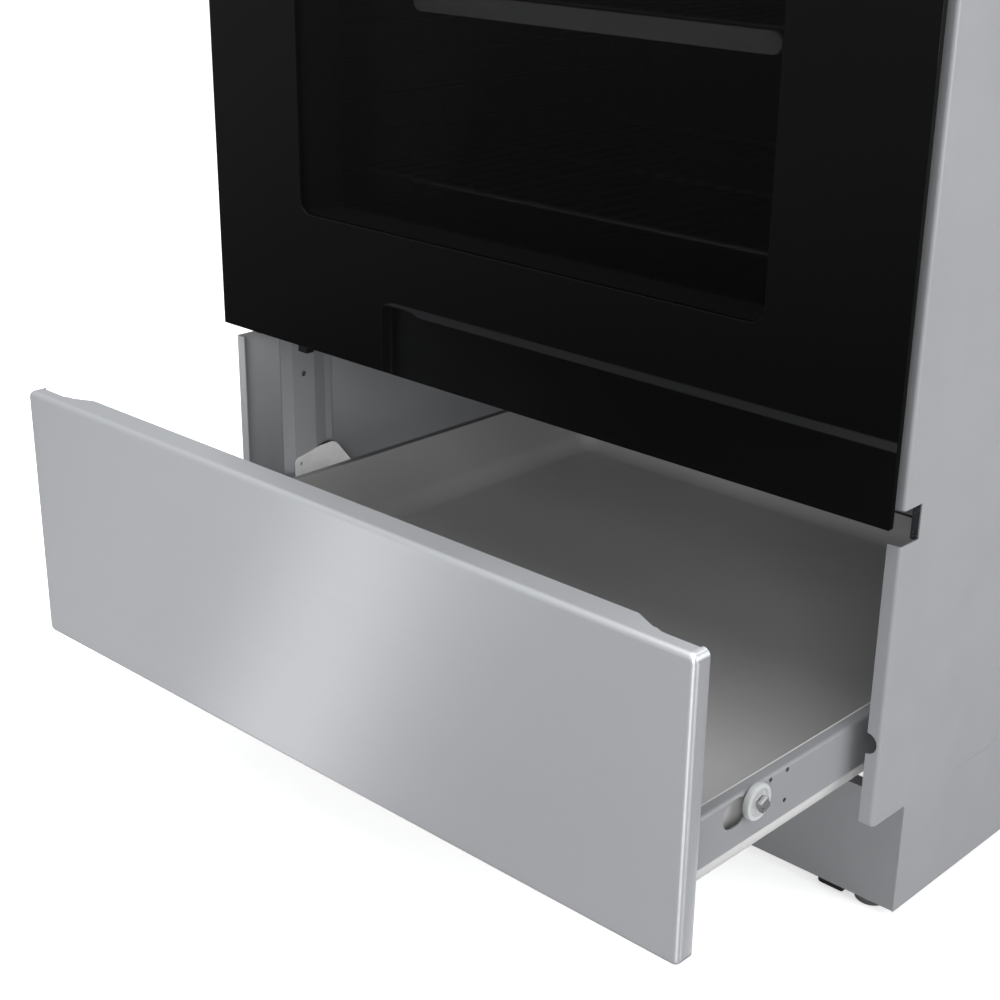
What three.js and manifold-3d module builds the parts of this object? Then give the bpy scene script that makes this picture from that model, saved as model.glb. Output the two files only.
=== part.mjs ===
// Freestanding 30 inch gas range with four burners, an oven and a roll-out storage drawer.
// Millimetres, +X to the right, +Y to the back, +Z up. Inside the range group, Y = 0 is the
// front face of the oven door's glass and Z = 0 is the floor. The outer group moves the
// range so that its origin is the bottom centre of its own box.
import * as THREE from "three";
import { mergeVertices } from "three/addons/utils/BufferGeometryUtils.js";
import Module from "manifold-3d";

const wasm = await Module();
wasm.setup();

// ---- Driving dimensions ------------------------------------------------------------
const HALF_WIDTH = 379.5; // the standard 759 mm body of a 30 inch range
const SHEET = 1.2; // thickness of the folded steel sheet
const GAP = 0.3; // clearance between pieces that touch
const FRONT_Y = 15; // front face of the side panels' flanges
const REAR_Y = 745; // rear face of the body
const PANEL_Z = 10; // bottom edge of the side and toe panels
const SIDE_TOP_Z = 887;
const FLANGE = 11.7; // inward front flange of a side panel
const TOE_Y = 64.6;
const TOE_TOP_Z = 110;
const NOTCH_Z = [345, 373]; // notch that the door's lower corner swings through
const NOTCH_Y = 39;
const FOOT_X = 348;
const FOOT_Y = [84, REAR_Y - 50]; // front and rear levelling feet

const FRAME_Y = 56; // front face of the oven's front frame
const FRAME_Z = [352, 818];
const OVEN_HALF = 305; // half width inside the oven
const OVEN_Z = [378, 792];
const OVEN_REAR_Y = 560;
const OVEN_FLOOR_Z = 398;
const RIB_Z = [440, 474, 508, 542, 576, 610, 644, 678, 712]; // rack guide levels
const RIB_HALF = 297;

const DOOR_HALF = 377;
const DOOR_Z = [361.6, 816];
const GLASS = 5.5;
const WINDOW_HALF = 256.7;
const WINDOW_Z = [488, 736];
const DOOR_BACK_Y = 32;
const LINER_Y = 50.6; // rear face of the door's inner panel
const HINGE_Y = 24;
const HINGE_Z = 375;
const HINGE_X = 340;

const DRAWER_OUT = 222.1; // how far the drawer stands open at rest
const DRAWER_HALF = 378;
const DRAWER_Z = [104, 341.4];
const TUB_HALF = 343; // inner half width of the pan
const RAIL_HALF = 354; // outer face of the pan's side rails
const RAIL_Z = [148, 191];
const TUB_FLOOR_Z = 118;
const TUB_Y = [-205, 510];
const ROLLER_Y = -111;
const ROLLER_Z = 180;
const ROLLER_R = 14.5;
const GUIDE_Z = [164, 181]; // the guide that the roller runs in
const GUIDE_Y = [74, 600];

const DECK_Z = 906; // recessed deck of the cooktop
const RIM_Z = 914;
const COOKTOP_Y = [-10, REAR_Y];
const BURNER_X = 205;
const BURNER_Y = [190, 500];
const BURNER_R = { front_left: 48, front_right: 42, rear_left: 38, rear_right: 44 };
const GRATE_TOP_Z = 944;
const BAR = 11; // width and height of a grate bar
const GRATE_X = [16, 357];
const GRATE_Y = [24, REAR_Y - 84];

const PANEL_Y = -8; // front face of the control panel
const CONTROL_Z = [822, 886];
const KNOB_X = [-285, -165, 165, 285];
const KNOB_Z = 853;
const KNOB_R = 21;
const INLET = [250, 255]; // X and Z of the gas inlet
const REGULATOR_Y = REAR_Y - 50;

const BACKGUARD_Y = REAR_Y - 62;
const BACKGUARD_Z = [RIM_Z + GAP, 1188];

// ---- Solids ------------------------------------------------------------------------
// A three.js geometry as a manifold solid.
function solid(geometry) {
  const bare = geometry.index ? geometry.toNonIndexed() : geometry.clone();
  bare.deleteAttribute("normal");
  bare.deleteAttribute("uv");
  const merged = mergeVertices(bare, 1e-4);
  return new wasm.Manifold(
    new wasm.Mesh({
      numProp: 3,
      vertProperties: merged.attributes.position.array,
      triVerts: new Uint32Array(merged.index.array),
    }),
  );
}

function geometryOf(made) {
  const mesh = made.getMesh();
  const geometry = new THREE.BufferGeometry();
  geometry.setAttribute("position", new THREE.BufferAttribute(mesh.vertProperties, 3));
  geometry.setIndex(new THREE.BufferAttribute(mesh.triVerts, 1));
  return geometry;
}

const join = (solids) => solids.reduce((all, next) => all.add(next));
const cut = (made, ...cutters) => cutters.reduce((left, next) => left.subtract(next), made);

function block(x, y, z) {
  const geometry = new THREE.BoxGeometry(x[1] - x[0], y[1] - y[0], z[1] - z[0]);
  geometry.translate((x[0] + x[1]) / 2, (y[0] + y[1]) / 2, (z[0] + z[1]) / 2);
  return solid(geometry);
}

// A shape extruded along Z. A bevel rounds the edges of the lower and upper faces.
function alongZ(shape, z, bevel = 0, steps = 3) {
  const geometry = new THREE.ExtrudeGeometry(shape, {
    depth: z[1] - z[0] - 2 * bevel,
    bevelEnabled: bevel > 0,
    bevelThickness: bevel,
    bevelSize: bevel,
    bevelOffset: -bevel,
    bevelSegments: steps,
    curveSegments: 2,
  });
  return solid(geometry.translate(0, 0, z[0] + bevel));
}

// A shape in (Y, Z) extruded along X.
function alongX(shape, x) {
  const geometry = new THREE.ExtrudeGeometry(shape, {
    depth: x[1] - x[0],
    bevelEnabled: false,
    curveSegments: 2,
  });
  const turn = new THREE.Matrix4().makeBasis(
    new THREE.Vector3(0, 1, 0),
    new THREE.Vector3(0, 0, 1),
    new THREE.Vector3(1, 0, 0),
  );
  return solid(geometry.applyMatrix4(turn).translate(x[0], 0, 0));
}

// A shape in (X, Z) extruded along Y. A bevel rounds the edges of the two end faces.
function alongY(shape, y, bevel = 0, steps = 3) {
  const geometry = new THREE.ExtrudeGeometry(shape, {
    depth: y[1] - y[0] - 2 * bevel,
    bevelEnabled: bevel > 0,
    bevelThickness: bevel,
    bevelSize: bevel,
    bevelOffset: -bevel,
    bevelSegments: steps,
    curveSegments: 2,
  });
  const turn = new THREE.Matrix4().makeBasis(
    new THREE.Vector3(1, 0, 0),
    new THREE.Vector3(0, 0, 1),
    new THREE.Vector3(0, -1, 0),
  );
  return solid(geometry.applyMatrix4(turn).translate(0, y[1] - bevel, 0));
}

function outline(points) {
  return new THREE.Shape(points.map(([a, b]) => new THREE.Vector2(a, b)));
}

function roundedRect(a, b, radius) {
  const shape = new THREE.Shape();
  const quarter = Math.PI / 2;
  shape.absarc(a[1] - radius, b[0] + radius, radius, -quarter, 0);
  shape.absarc(a[1] - radius, b[1] - radius, radius, 0, quarter);
  shape.absarc(a[0] + radius, b[1] - radius, radius, quarter, 2 * quarter);
  shape.absarc(a[0] + radius, b[0] + radius, radius, 2 * quarter, 3 * quarter);
  return shape;
}

// A round bar between two points.
function bar(from, to, radius, sides = 12) {
  const start = new THREE.Vector3(...from);
  const way = new THREE.Vector3(...to).sub(start);
  const geometry = new THREE.CylinderGeometry(radius, radius, way.length(), sides);
  geometry.translate(0, way.length() / 2, 0);
  const up = new THREE.Vector3(0, 1, 0);
  geometry.applyQuaternion(new THREE.Quaternion().setFromUnitVectors(up, way.normalize()));
  return solid(geometry.translate(...from));
}

// A profile of (radius, height) points turned about the Z axis.
function turned(profile, sides = 20) {
  const points = profile.map(([radius, height]) => new THREE.Vector2(radius, height));
  const geometry = new THREE.LatheGeometry(points, sides);
  const upright = new THREE.Matrix4().makeBasis(
    new THREE.Vector3(1, 0, 0),
    new THREE.Vector3(0, 0, 1),
    new THREE.Vector3(0, -1, 0),
  );
  return solid(geometry.applyMatrix4(upright));
}

// A round tube of the given radius along a smooth curve through a list of points.
function tube(points, radius, sides = 8, steps = 24) {
  const path = new THREE.CatmullRomCurve3(
    points.map((point) => new THREE.Vector3(...point)),
    false,
    "catmullrom",
    0.1,
  );
  const ring = new THREE.Shape();
  for (let i = 0; i < sides; i += 1) {
    const angle = (2 * Math.PI * i) / sides;
    const at = [radius * Math.cos(angle), radius * Math.sin(angle)];
    if (i === 0) ring.moveTo(...at);
    else ring.lineTo(...at);
  }
  ring.closePath();
  return solid(new THREE.ExtrudeGeometry(ring, { steps, extrudePath: path }));
}

const mirrored = (made) => made.mirror([1, 0, 0]);

// ---- Materials ---------------------------------------------------------------------
const finish = (color, roughness, metalness) =>
  new THREE.MeshStandardMaterial({ color, roughness, metalness });

const GREY_PAINT = finish(0xa9abaf, 0.45, 0.3);
const STAINLESS = finish(0xb4b6ba, 0.32, 0.85);
const GALVANISED = finish(0x8e9092, 0.5, 0.6);
const PALE_STEEL = finish(0xb0b2b2, 0.5, 0.4);
const BLACK_GLASS = finish(0x050505, 0.05, 0.0);
const CLEAR_GLASS = finish(0x202020, 0.05, 0.0);
const BLACK_ENAMEL = finish(0x101011, 0.25, 0.0);
const DARK_ENAMEL = finish(0x2a2b2c, 0.35, 0.0);
const CAST_IRON = finish(0x161616, 0.75, 0.2);
const ALUMINIUM = finish(0xa8aaac, 0.4, 0.8);
const CHROME = finish(0xc8c8c8, 0.2, 1.0);
const BRASS = finish(0xb59a55, 0.35, 0.9);
const BLACK_RUBBER = finish(0x141414, 0.8, 0.0);
const WHITE_NYLON = finish(0xb4b6b6, 0.55, 0.0);
const GASKET = finish(0x3a3a3a, 0.9, 0.0);

const range = new THREE.Group();

function add(name, made, material) {
  const mesh = new THREE.Mesh(geometryOf(made), material);
  mesh.name = name;
  range.add(mesh);
}

// The same piece on the right, at +X, and mirrored on the left.
function addPair(name, right, material) {
  add(`${name}_right`, right, material);
  add(`${name}_left`, mirrored(right), material);
}

// ---- Body --------------------------------------------------------------------------
// Folded side panel: front flange, rounded fold, web and rear flange, with its notches.
function sidePanel() {
  const bend = 3;
  const out = HALF_WIDTH;
  const inner = out - SHEET;
  const profile = new THREE.Shape();
  profile.moveTo(out - FLANGE, FRONT_Y);
  profile.absarc(out - bend, FRONT_Y + bend, bend, -Math.PI / 2, 0);
  profile.lineTo(out, REAR_Y);
  profile.lineTo(out - 16, REAR_Y);
  profile.lineTo(out - 16, REAR_Y - SHEET);
  profile.lineTo(inner, REAR_Y - SHEET);
  profile.absarc(out - bend, FRONT_Y + bend, bend - SHEET, 0, -Math.PI / 2, true);
  profile.lineTo(out - FLANGE, FRONT_Y + SHEET);
  const wide = [out - 30, out + 5];
  const rollerNotch = new THREE.Shape();
  rollerNotch.absarc(out - FLANGE, ROLLER_Z + 1, 9, 0, 2 * Math.PI);
  const bead = outline([[out - 0.5, 109.5], [out + 1, 108.6], [out + 1, 113.4], [out - 0.5, 112.5]]);
  const root = inner + 0.4;
  const frontPlate = [[300, TOE_Y + 2], [root, TOE_Y + 2], [root, 140], [300, 110]];
  const rearPlate = [[320, REAR_Y - 90], [root, REAR_Y - 120], [root, REAR_Y - 2], [320, REAR_Y - 2]];
  const footHoles = FOOT_Y.map((y) => bar([FOOT_X, y, 0], [FOOT_X, y, 40], 4.6, 12));
  const plates = [frontPlate, rearPlate].map((points) => alongZ(outline(points), [22, 22 + SHEET]));
  return cut(
    join([alongZ(profile, [PANEL_Z, SIDE_TOP_Z]), ...plates]),
    block(wide, [FRONT_Y - 5, TOE_Y - 0.6], [0, TOE_TOP_Z]),
    block(wide, [FRONT_Y - 5, NOTCH_Y], NOTCH_Z),
    alongY(rollerNotch, [FRONT_Y - 5, FRONT_Y + 5]),
    alongY(bead, [140, REAR_Y - 20]),
    ...footHoles,
  );
}
addPair("side_panel", sidePanel(), GREY_PAINT);

// Hat section welded inside each side panel, behind the door opening.
function frontUpright() {
  const root = HALF_WIDTH - SHEET - GAP;
  const crown = 368;
  const profile = outline([
    [root, 67.2], [root, 68.8], [crown + SHEET, 76.5], [crown + SHEET, 103],
    [root, 124], [root, 134], [root - SHEET, 134], [root - SHEET, 125],
    [crown, 104], [crown, 75.5], [root - SHEET, 67.2],
  ]);
  const holes = [[92, 318.6], [90, 291.8]].map(([y, z]) => bar([360, y, z], [375, y, z], 3, 10));
  return cut(alongZ(profile, [TOE_TOP_Z + 2, 820]), ...holes);
}
addPair("front_upright", frontUpright(), GREY_PAINT);

// Toe panel: a shallow channel with its flanges turned back.
function toePanel() {
  const y = TOE_Y;
  const lip = 14;
  const channel = outline([
    [y, PANEL_Z], [y + lip, PANEL_Z], [y + lip, PANEL_Z + SHEET], [y + SHEET, PANEL_Z + SHEET],
    [y + SHEET, TOE_TOP_Z - SHEET], [y + lip, TOE_TOP_Z - SHEET], [y + lip, TOE_TOP_Z], [y, TOE_TOP_Z],
  ]);
  const half = HALF_WIDTH - SHEET - GAP;
  const screwHole = (x, z, r) => bar([x, y - 5, z], [x, y + 5, z], r, 10);
  return cut(
    alongX(channel, [-half, half]),
    block([-half - 1, -297], [y + 1.6, y + 20], [0, TOE_TOP_Z - 2]),
    block([297, half + 1], [y + 1.6, y + 20], [0, TOE_TOP_Z - 2]),
    screwHole(363, 93.5, 2),
    screwHole(-363, 93.5, 2),
  );
}
add("toe_panel", toePanel(), GREY_PAINT);

// Rear panel, closing the back of the body between the side panels.
function rearPanel() {
  const y = [REAR_Y + GAP, REAR_Y + GAP + SHEET];
  const plate = alongY(roundedRect([-372, 372], [58, 884], 6), y);
  const inletHole = bar([INLET[0], REAR_Y - 5, INLET[1]], [INLET[0], REAR_Y + 8, INLET[1]], 24, 20);
  const slots = [];
  for (let i = 0; i < 7; i += 1) {
    const x = -180 + 60 * i;
    slots.push(block([x - 17, x + 17], [REAR_Y - 5, REAR_Y + 8], [820, 826]));
  }
  return cut(plate, inletHole, ...slots);
}
add("rear_panel", rearPanel(), GALVANISED);

// Front frame around the oven's mouth.
function frontFrame() {
  const half = HALF_WIDTH - SHEET - 2 * GAP;
  const shape = outline([
    [-half, FRAME_Z[0]], [half, FRAME_Z[0]], [half, FRAME_Z[1]], [-half, FRAME_Z[1]],
  ]);
  shape.holes.push(roundedRect([-300, 300], [OVEN_FLOOR_Z + 4, 786], 14));
  return alongY(shape, [FRAME_Y, FRAME_Y + SHEET]);
}
add("front_frame", frontFrame(), BLACK_ENAMEL);

// Oven cavity: an enamelled box open to the front, with rack guide ribs on its sides.
function ovenLiner() {
  const front = FRAME_Y + SHEET + GAP;
  const plan = (half, rear, radius) => {
    const shape = new THREE.Shape();
    shape.moveTo(-half, front);
    shape.lineTo(half, front);
    shape.absarc(half - radius, rear - radius, radius, 0, Math.PI / 2);
    shape.absarc(-half + radius, rear - radius, radius, Math.PI / 2, Math.PI);
    return shape;
  };
  const z = OVEN_Z;
  const outer = alongZ(plan(OVEN_HALF + SHEET, OVEN_REAR_Y + SHEET, 46), [z[0] - SHEET, z[1] + SHEET]);
  const innerPlan = plan(OVEN_HALF, OVEN_REAR_Y, 45);
  const inner = alongZ(innerPlan, z);
  const mouth = block([-OVEN_HALF, OVEN_HALF], [front - 2, front + 2], z);
  const burnerSlot = block([-20, 20], [OVEN_REAR_Y - 10, OVEN_REAR_Y + 10], [380, 392]);
  let liner = cut(outer, inner, mouth, burnerSlot);
  RIB_Z.forEach((level) => {
    const section = outline([
      [RIB_HALF, level - 1.5], [OVEN_HALF + 0.5, level - 5], [OVEN_HALF + 0.5, level + 2.5],
      [RIB_HALF, level + 0.5],
    ]);
    const rib = alongY(section, [92, 505]);
    liner = join([liner, rib, mirrored(rib)]);
  });
  return liner;
}
add("oven_liner", ovenLiner(), DARK_ENAMEL);

// Removable floor of the oven, over the bake burner.
function ovenFloor() {
  const half = OVEN_HALF - 1;
  const plan = roundedRect([-half, half], [FRAME_Y + 2, OVEN_REAR_Y - 6], 44);
  const front = block([-half, half], [FRAME_Y + 2, 150], [OVEN_FLOOR_Z, OVEN_FLOOR_Z + SHEET]);
  let floor = join([alongZ(plan, [OVEN_FLOOR_Z, OVEN_FLOOR_Z + SHEET]), front]);
  for (const x of [-270, -235, 235, 270]) {
    for (const y of [120, 470]) {
      floor = cut(floor, block([x - 4, x + 4], [y - 30, y + 30], [390, 410]));
    }
  }
  const rest = (x) => block([x - 8, x + 8], [90, 500], [OVEN_Z[0] + GAP, OVEN_FLOOR_Z + 0.4]);
  return join([floor, rest(-290), rest(290)]);
}
add("oven_floor", ovenFloor(), DARK_ENAMEL);

// U-shaped gas burner under the oven floor and an H-shaped one under the roof.
function bakeBurner() {
  const z = 388;
  return join([
    bar([-90, 120, z], [-90, 530, z], 8.5, 8),
    bar([90, 120, z], [90, 530, z], 8.5, 8),
    bar([-98, 120, z], [98, 120, z], 8.5, 8),
    bar([-98, 522, z], [98, 522, z], 8.5, 8),
  ]);
}
add("bake_burner", bakeBurner(), GALVANISED);

function broilBurner() {
  const z = 770;
  const posts = [140, 440].map((y) => bar([0, y, z], [0, y, OVEN_Z[1] - GAP], 4, 8));
  return join([
    bar([-150, 140, z], [150, 140, z], 9, 8),
    bar([-150, 440, z], [150, 440, z], 9, 8),
    bar([0, 132, z], [0, 530, z], 9, 8),
    ...posts,
  ]);
}
add("broil_burner", broilBurner(), GALVANISED);

// Rope gasket around the oven's mouth, pressed by the closed door.
function ovenGasket() {
  const y = [LINER_Y + GAP, FRAME_Y - GAP];
  const ring = roundedRect([-322, 322], [387.5, 798], 18);
  ring.holes.push(roundedRect([-316, 316], [393.5, 792], 12));
  return alongY(ring, y);
}
add("oven_gasket", ovenGasket(), GASKET);

// Hinge bracket on the front frame, with the pivot pin that the door's leaf turns on.
function hingeBracket() {
  const x = [HINGE_X + 4, HINGE_X + 7];
  const arm = outline([
    [HINGE_Y, HINGE_Z - 7], [FRAME_Y - GAP, HINGE_Z - 7], [FRAME_Y - GAP, HINGE_Z + 7],
    [HINGE_Y, HINGE_Z + 7],
  ]);
  const nose = bar([x[0], HINGE_Y, HINGE_Z], [x[1], HINGE_Y, HINGE_Z], 7, 20);
  const pin = bar([HINGE_X - 4, HINGE_Y, HINGE_Z], [x[1], HINGE_Y, HINGE_Z], 3.5, 16);
  const base = block([x[0], x[0] + 20], [FRAME_Y - GAP - 2.5, FRAME_Y - GAP], [HINGE_Z - 20, HINGE_Z + 7]);
  return join([alongX(arm, x), nose, pin, base]);
}
addPair("hinge_bracket", hingeBracket(), GALVANISED);

// Guide for the drawer's roller: a channel with a raised plate at its front end.
function drawerGuide() {
  const web = [366.4, 367.6];
  const [front, rear] = GUIDE_Y;
  const [low, high] = GUIDE_Z;
  const plate = outline([
    [front, low], [front, 198], [front + 1.2, 201], [front + 4, 202.6], [108, 209.3],
    [124, 210], [129, 208.6], [133, 205], [152, high], [rear, high], [rear, low],
  ]);
  const flange = block([355.5, web[1]], GUIDE_Y, [low, low + SHEET]);
  const screwHole = bar([360, 82, 196], [372, 82, 196], 2.6, 10);
  const tabs = [150, 590].map((y) =>
    block([web[1] - 0.2, HALF_WIDTH - SHEET - GAP], [y - 8, y + 8], [low + 2, low + 2 + SHEET]),
  );
  return cut(join([alongX(plate, web), flange, ...tabs]), screwHole);
}
addPair("drawer_guide", drawerGuide(), PALE_STEEL);

// Levelling feet, screwed up through the base plates, and skid blocks beside the front pair.
function foot(x, y) {
  return join([
    turned([[0, 0], [13, 0], [14.5, 1.5], [14.5, 5], [12, 7], [0, 7]], 14),
    bar([0, 0, 6], [0, 0, 46], 4, 8),
    turned([[0, 23.6], [7.5, 23.6], [7.5, 29], [0, 29]], 6),
  ]).translate([x, y, 0]);
}
["front", "rear"].forEach((end, i) => {
  add(`foot_${end}_right`, foot(FOOT_X, FOOT_Y[i]), ALUMINIUM);
  add(`foot_${end}_left`, foot(-FOOT_X, FOOT_Y[i]), ALUMINIUM);
});

const skid = alongY(roundedRect([304, 329], [2.5, 21.7], 2), [TOE_Y + 4, 100]);
addPair("skid_block", skid, BLACK_RUBBER);

// ---- Oven door ---------------------------------------------------------------------
function doorGlass() {
  const slab = alongY(roundedRect([-DOOR_HALF, DOOR_HALF], DOOR_Z, 2), [0, GLASS]);
  return cut(slab, ...[-310, 310].map((x) => bar([x, -2, 782], [x, 8, 782], 4.5, 12)));
}
add("door_glass", doorGlass(), BLACK_GLASS);

const SLOT_X = [HINGE_X - 6, HINGE_X + 11];

// Door frame: a shell behind the glass with a tunnel around the window.
function doorFrame() {
  const y = [GLASS + GAP, DOOR_BACK_Y];
  const shell = cut(
    alongY(roundedRect([-365, 365], [366, 812], 5), y),
    alongY(roundedRect([-363.8, 363.8], [367.2, 810.8], 4), [y[0] - 2, y[1] - SHEET]),
  );
  const w = WINDOW_HALF;
  const tunnelOuter = roundedRect([-w - SHEET, w + SHEET], [WINDOW_Z[0] - SHEET, WINDOW_Z[1] + SHEET], 5);
  const tunnel = alongY(tunnelOuter, [y[0], 44.6]);
  const opening = alongY(roundedRect([-w, w], WINDOW_Z, 4), [y[0] - 2, 50]);
  const slot = block(SLOT_X, [HINGE_Y - 9, DOOR_BACK_Y + 2], [360, HINGE_Z + 10]);
  return cut(join([shell, tunnel]), opening, slot, mirrored(slot));
}
add("door_frame", doorFrame(), BLACK_ENAMEL);

const innerGlass = alongY(roundedRect([-266, 266], [WINDOW_Z[0] - 9, WINDOW_Z[1] + 9], 3), [45, 49]);
add("door_inner_glass", innerGlass, CLEAR_GLASS);

// Pressed inner panel of the door, which closes against the gasket.
function doorLiner() {
  const z = [HINGE_Z + 10, 801];
  const pan = cut(
    alongY(roundedRect([-330, 330], z, 10), [DOOR_BACK_Y + GAP, LINER_Y]),
    alongY(roundedRect([-328.8, 328.8], [z[0] + SHEET, z[1] - SHEET], 9), [DOOR_BACK_Y - 2, LINER_Y - SHEET]),
  );
  return cut(pan, alongY(roundedRect([-WINDOW_HALF, WINDOW_HALF], WINDOW_Z, 4), [40, 60]));
}
add("door_liner", doorLiner(), DARK_ENAMEL);

// Hinge leaf fixed inside the door frame, with the eye that turns on the bracket's pin.
function doorHinge() {
  const leaf = outline([
    [8, 369], [HINGE_Y + 7, 369], [HINGE_Y + 7, HINGE_Z + 6], [29.5, HINGE_Z + 16],
    [29.5, 505], [20, 515], [8, 470],
  ]);
  const base = block([HINGE_X, HINGE_X + 18], [28, 30.5], [HINGE_Z + 20, 500]);
  const eye = bar([HINGE_X - 2, HINGE_Y, HINGE_Z], [HINGE_X + 5, HINGE_Y, HINGE_Z], 3.8, 16);
  return cut(join([alongX(leaf, [HINGE_X, HINGE_X + 3]), base]), eye);
}
addPair("door_hinge", doorHinge(), GALVANISED);

// Bar handle on two posts, bolted through the glass.
function doorHandle() {
  const z = 782;
  const grip = bar([-338, -46, z], [338, -46, z], 11, 16);
  const post = (x) =>
    join([
      alongY(roundedRect([x - 9, x + 9], [z - 8, z + 8], 6), [-44, -GAP]),
      bar([x, -1, z], [x, 26, z], 4, 8),
    ]);
  return join([grip, post(-310), post(310)]);
}
add("door_handle", doorHandle(), STAINLESS);

// ---- Storage drawer ----------------------------------------------------------------
const SIDE_RETURN = 15.5;
// Folded front: rounded edges, side flanges, and a top flange that is deeper in its middle.
function drawerFront() {
  const y = -DRAWER_OUT;
  const [low, high] = DRAWER_Z;
  const half = DRAWER_HALF;
  const skin = cut(
    alongY(roundedRect([-half, half], [low, high], 6), [y, y + 26], 5, 4),
    alongY(
      roundedRect([-half + SHEET, half - SHEET], [low + SHEET, high - SHEET], 4.8),
      [y + SHEET, y + 40],
      3.8,
      3,
    ),
  );
  const folded = cut(skin, block([-400, 400], [y + SIDE_RETURN, y + 60], [0, 400]));
  const flange = outline([
    [-340, y + 12], [-312, y + 25], [312, y + 25], [340, y + 12],
  ]);
  const topCut = [
    [-half + 6, y + 13], [-340, y + 13], [-312, y + 25], [312, y + 25], [340, y + 13],
    [half - 6, y + 13], [half - 6, y + 40], [-half + 6, y + 40],
  ];
  return cut(
    join([folded, alongZ(flange, [high - SHEET, high])]),
    alongZ(outline(topCut), [high - 3, high + 3]),
  );
}
add("drawer_front", drawerFront(), STAINLESS);

// Pressed pan with rounded lower edges and a hollow rail along each side.
function drawerTub() {
  const [front, rear] = TUB_Y;
  const well = (grow) =>
    alongZ(
      roundedRect([-TUB_HALF - grow, TUB_HALF + grow], [front - grow, rear + grow], 24 + grow),
      [TUB_FLOOR_Z - grow, 260],
      18 + grow,
      3,
    );
  const rail = outline([
    [TUB_HALF - 3, RAIL_Z[1] - SHEET], [RAIL_HALF - SHEET, RAIL_Z[1] - SHEET],
    [RAIL_HALF - SHEET, RAIL_Z[0]], [RAIL_HALF, RAIL_Z[0]], [RAIL_HALF, RAIL_Z[1]],
    [TUB_HALF - 3, RAIL_Z[1]],
  ]);
  const side = alongY(rail, [front - SHEET, rear + SHEET]);
  const lips = [[front - SHEET, front + 20], [rear - 20, rear + SHEET]].map((y) =>
    block([-RAIL_HALF, RAIL_HALF], y, [RAIL_Z[1] - SHEET, RAIL_Z[1]]),
  );
  const frontWall = block([-TUB_HALF, TUB_HALF], [front - 1 - SHEET, front - 1], [140, RAIL_Z[1]]);
  const above = block([-400, 400], [-400, 600], [RAIL_Z[1], 400]);
  const wall = cut(well(SHEET), above);
  const slot = (y, z) => alongX(roundedRect([y[0], y[1]], [z[0], z[1]], 11), [RAIL_HALF - 3, RAIL_HALF + 3]);
  const hole = (y, z) => bar([RAIL_HALF - 3, y, z], [RAIL_HALF + 3, y, z], 2, 8);
  const railCuts = join([slot([-146, -118], [166, 189]), hole(-69, 187), hole(-70, 162), hole(-90, 187)]);
  const stud = bar([RAIL_HALF - SHEET, ROLLER_Y, ROLLER_Z], [RAIL_HALF + 7.4, ROLLER_Y, ROLLER_Z], 3, 12);
  const head = bar([RAIL_HALF + 7.3, ROLLER_Y, ROLLER_Z], [RAIL_HALF + 11.4, ROLLER_Y, ROLLER_Z], 6, 6);
  const tub = cut(join([wall, side, mirrored(side), ...lips, frontWall]), railCuts, mirrored(railCuts), well(0));
  return join([tub, stud, head, mirrored(stud), mirrored(head)]);
}
add("drawer_tub", drawerTub(), GREY_PAINT);

// Rollers on the studs of the pan's rails.
function drawerRoller() {
  const at = (x) => [x, ROLLER_Y, ROLLER_Z];
  const start = RAIL_HALF + GAP;
  const tread = bar(at(start), at(start + 6), ROLLER_R, 20);
  const dish = bar(at(start + 4.8), at(start + 8), 10, 16);
  const bore = bar(at(start - 2), at(start + 9), 3.15, 12);
  return cut(tread, dish, bore);
}
addPair("drawer_roller", drawerRoller(), WHITE_NYLON);

// ---- Oven racks --------------------------------------------------------------------
// Wire rack: a rounded frame with wires from front to back. The upper one has a front trim.
function ovenRack(level, trim) {
  const z = level + 2.5 + GAP + 3;
  const half = 302;
  const y = [88, 498];
  const frame = roundedRect([-half, half], y, 12);
  frame.holes.push(roundedRect([-half + 6, half - 6], [y[0] + 6, y[1] - 6], 6));
  const parts = [alongZ(frame, [z - 3, z + 3])];
  const spaces = 14;
  for (let i = 1; i < spaces; i += 1) {
    const x = -half + (2 * half * i) / spaces;
    parts.push(block([x - 1.8, x + 1.8], [y[0] + 3, y[1] - 3], [z - 1.5, z + 1.5]));
  }
  if (trim) parts.push(alongY(roundedRect([-197, 197], [z - 19, z - 1], 8), [y[0] - 3, y[0] + 1]));
  return join(parts);
}
add("oven_rack_lower", ovenRack(RIB_Z[2], false), CHROME);
add("oven_rack_upper", ovenRack(RIB_Z[7], true), CHROME);

// ---- Cooktop -----------------------------------------------------------------------
const BURNERS = Object.entries(BURNER_R).map(([place, radius]) => ({
  place,
  radius,
  x: place.endsWith("left") ? -BURNER_X : BURNER_X,
  y: place.startsWith("front") ? BURNER_Y[0] : BURNER_Y[1],
}));

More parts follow.
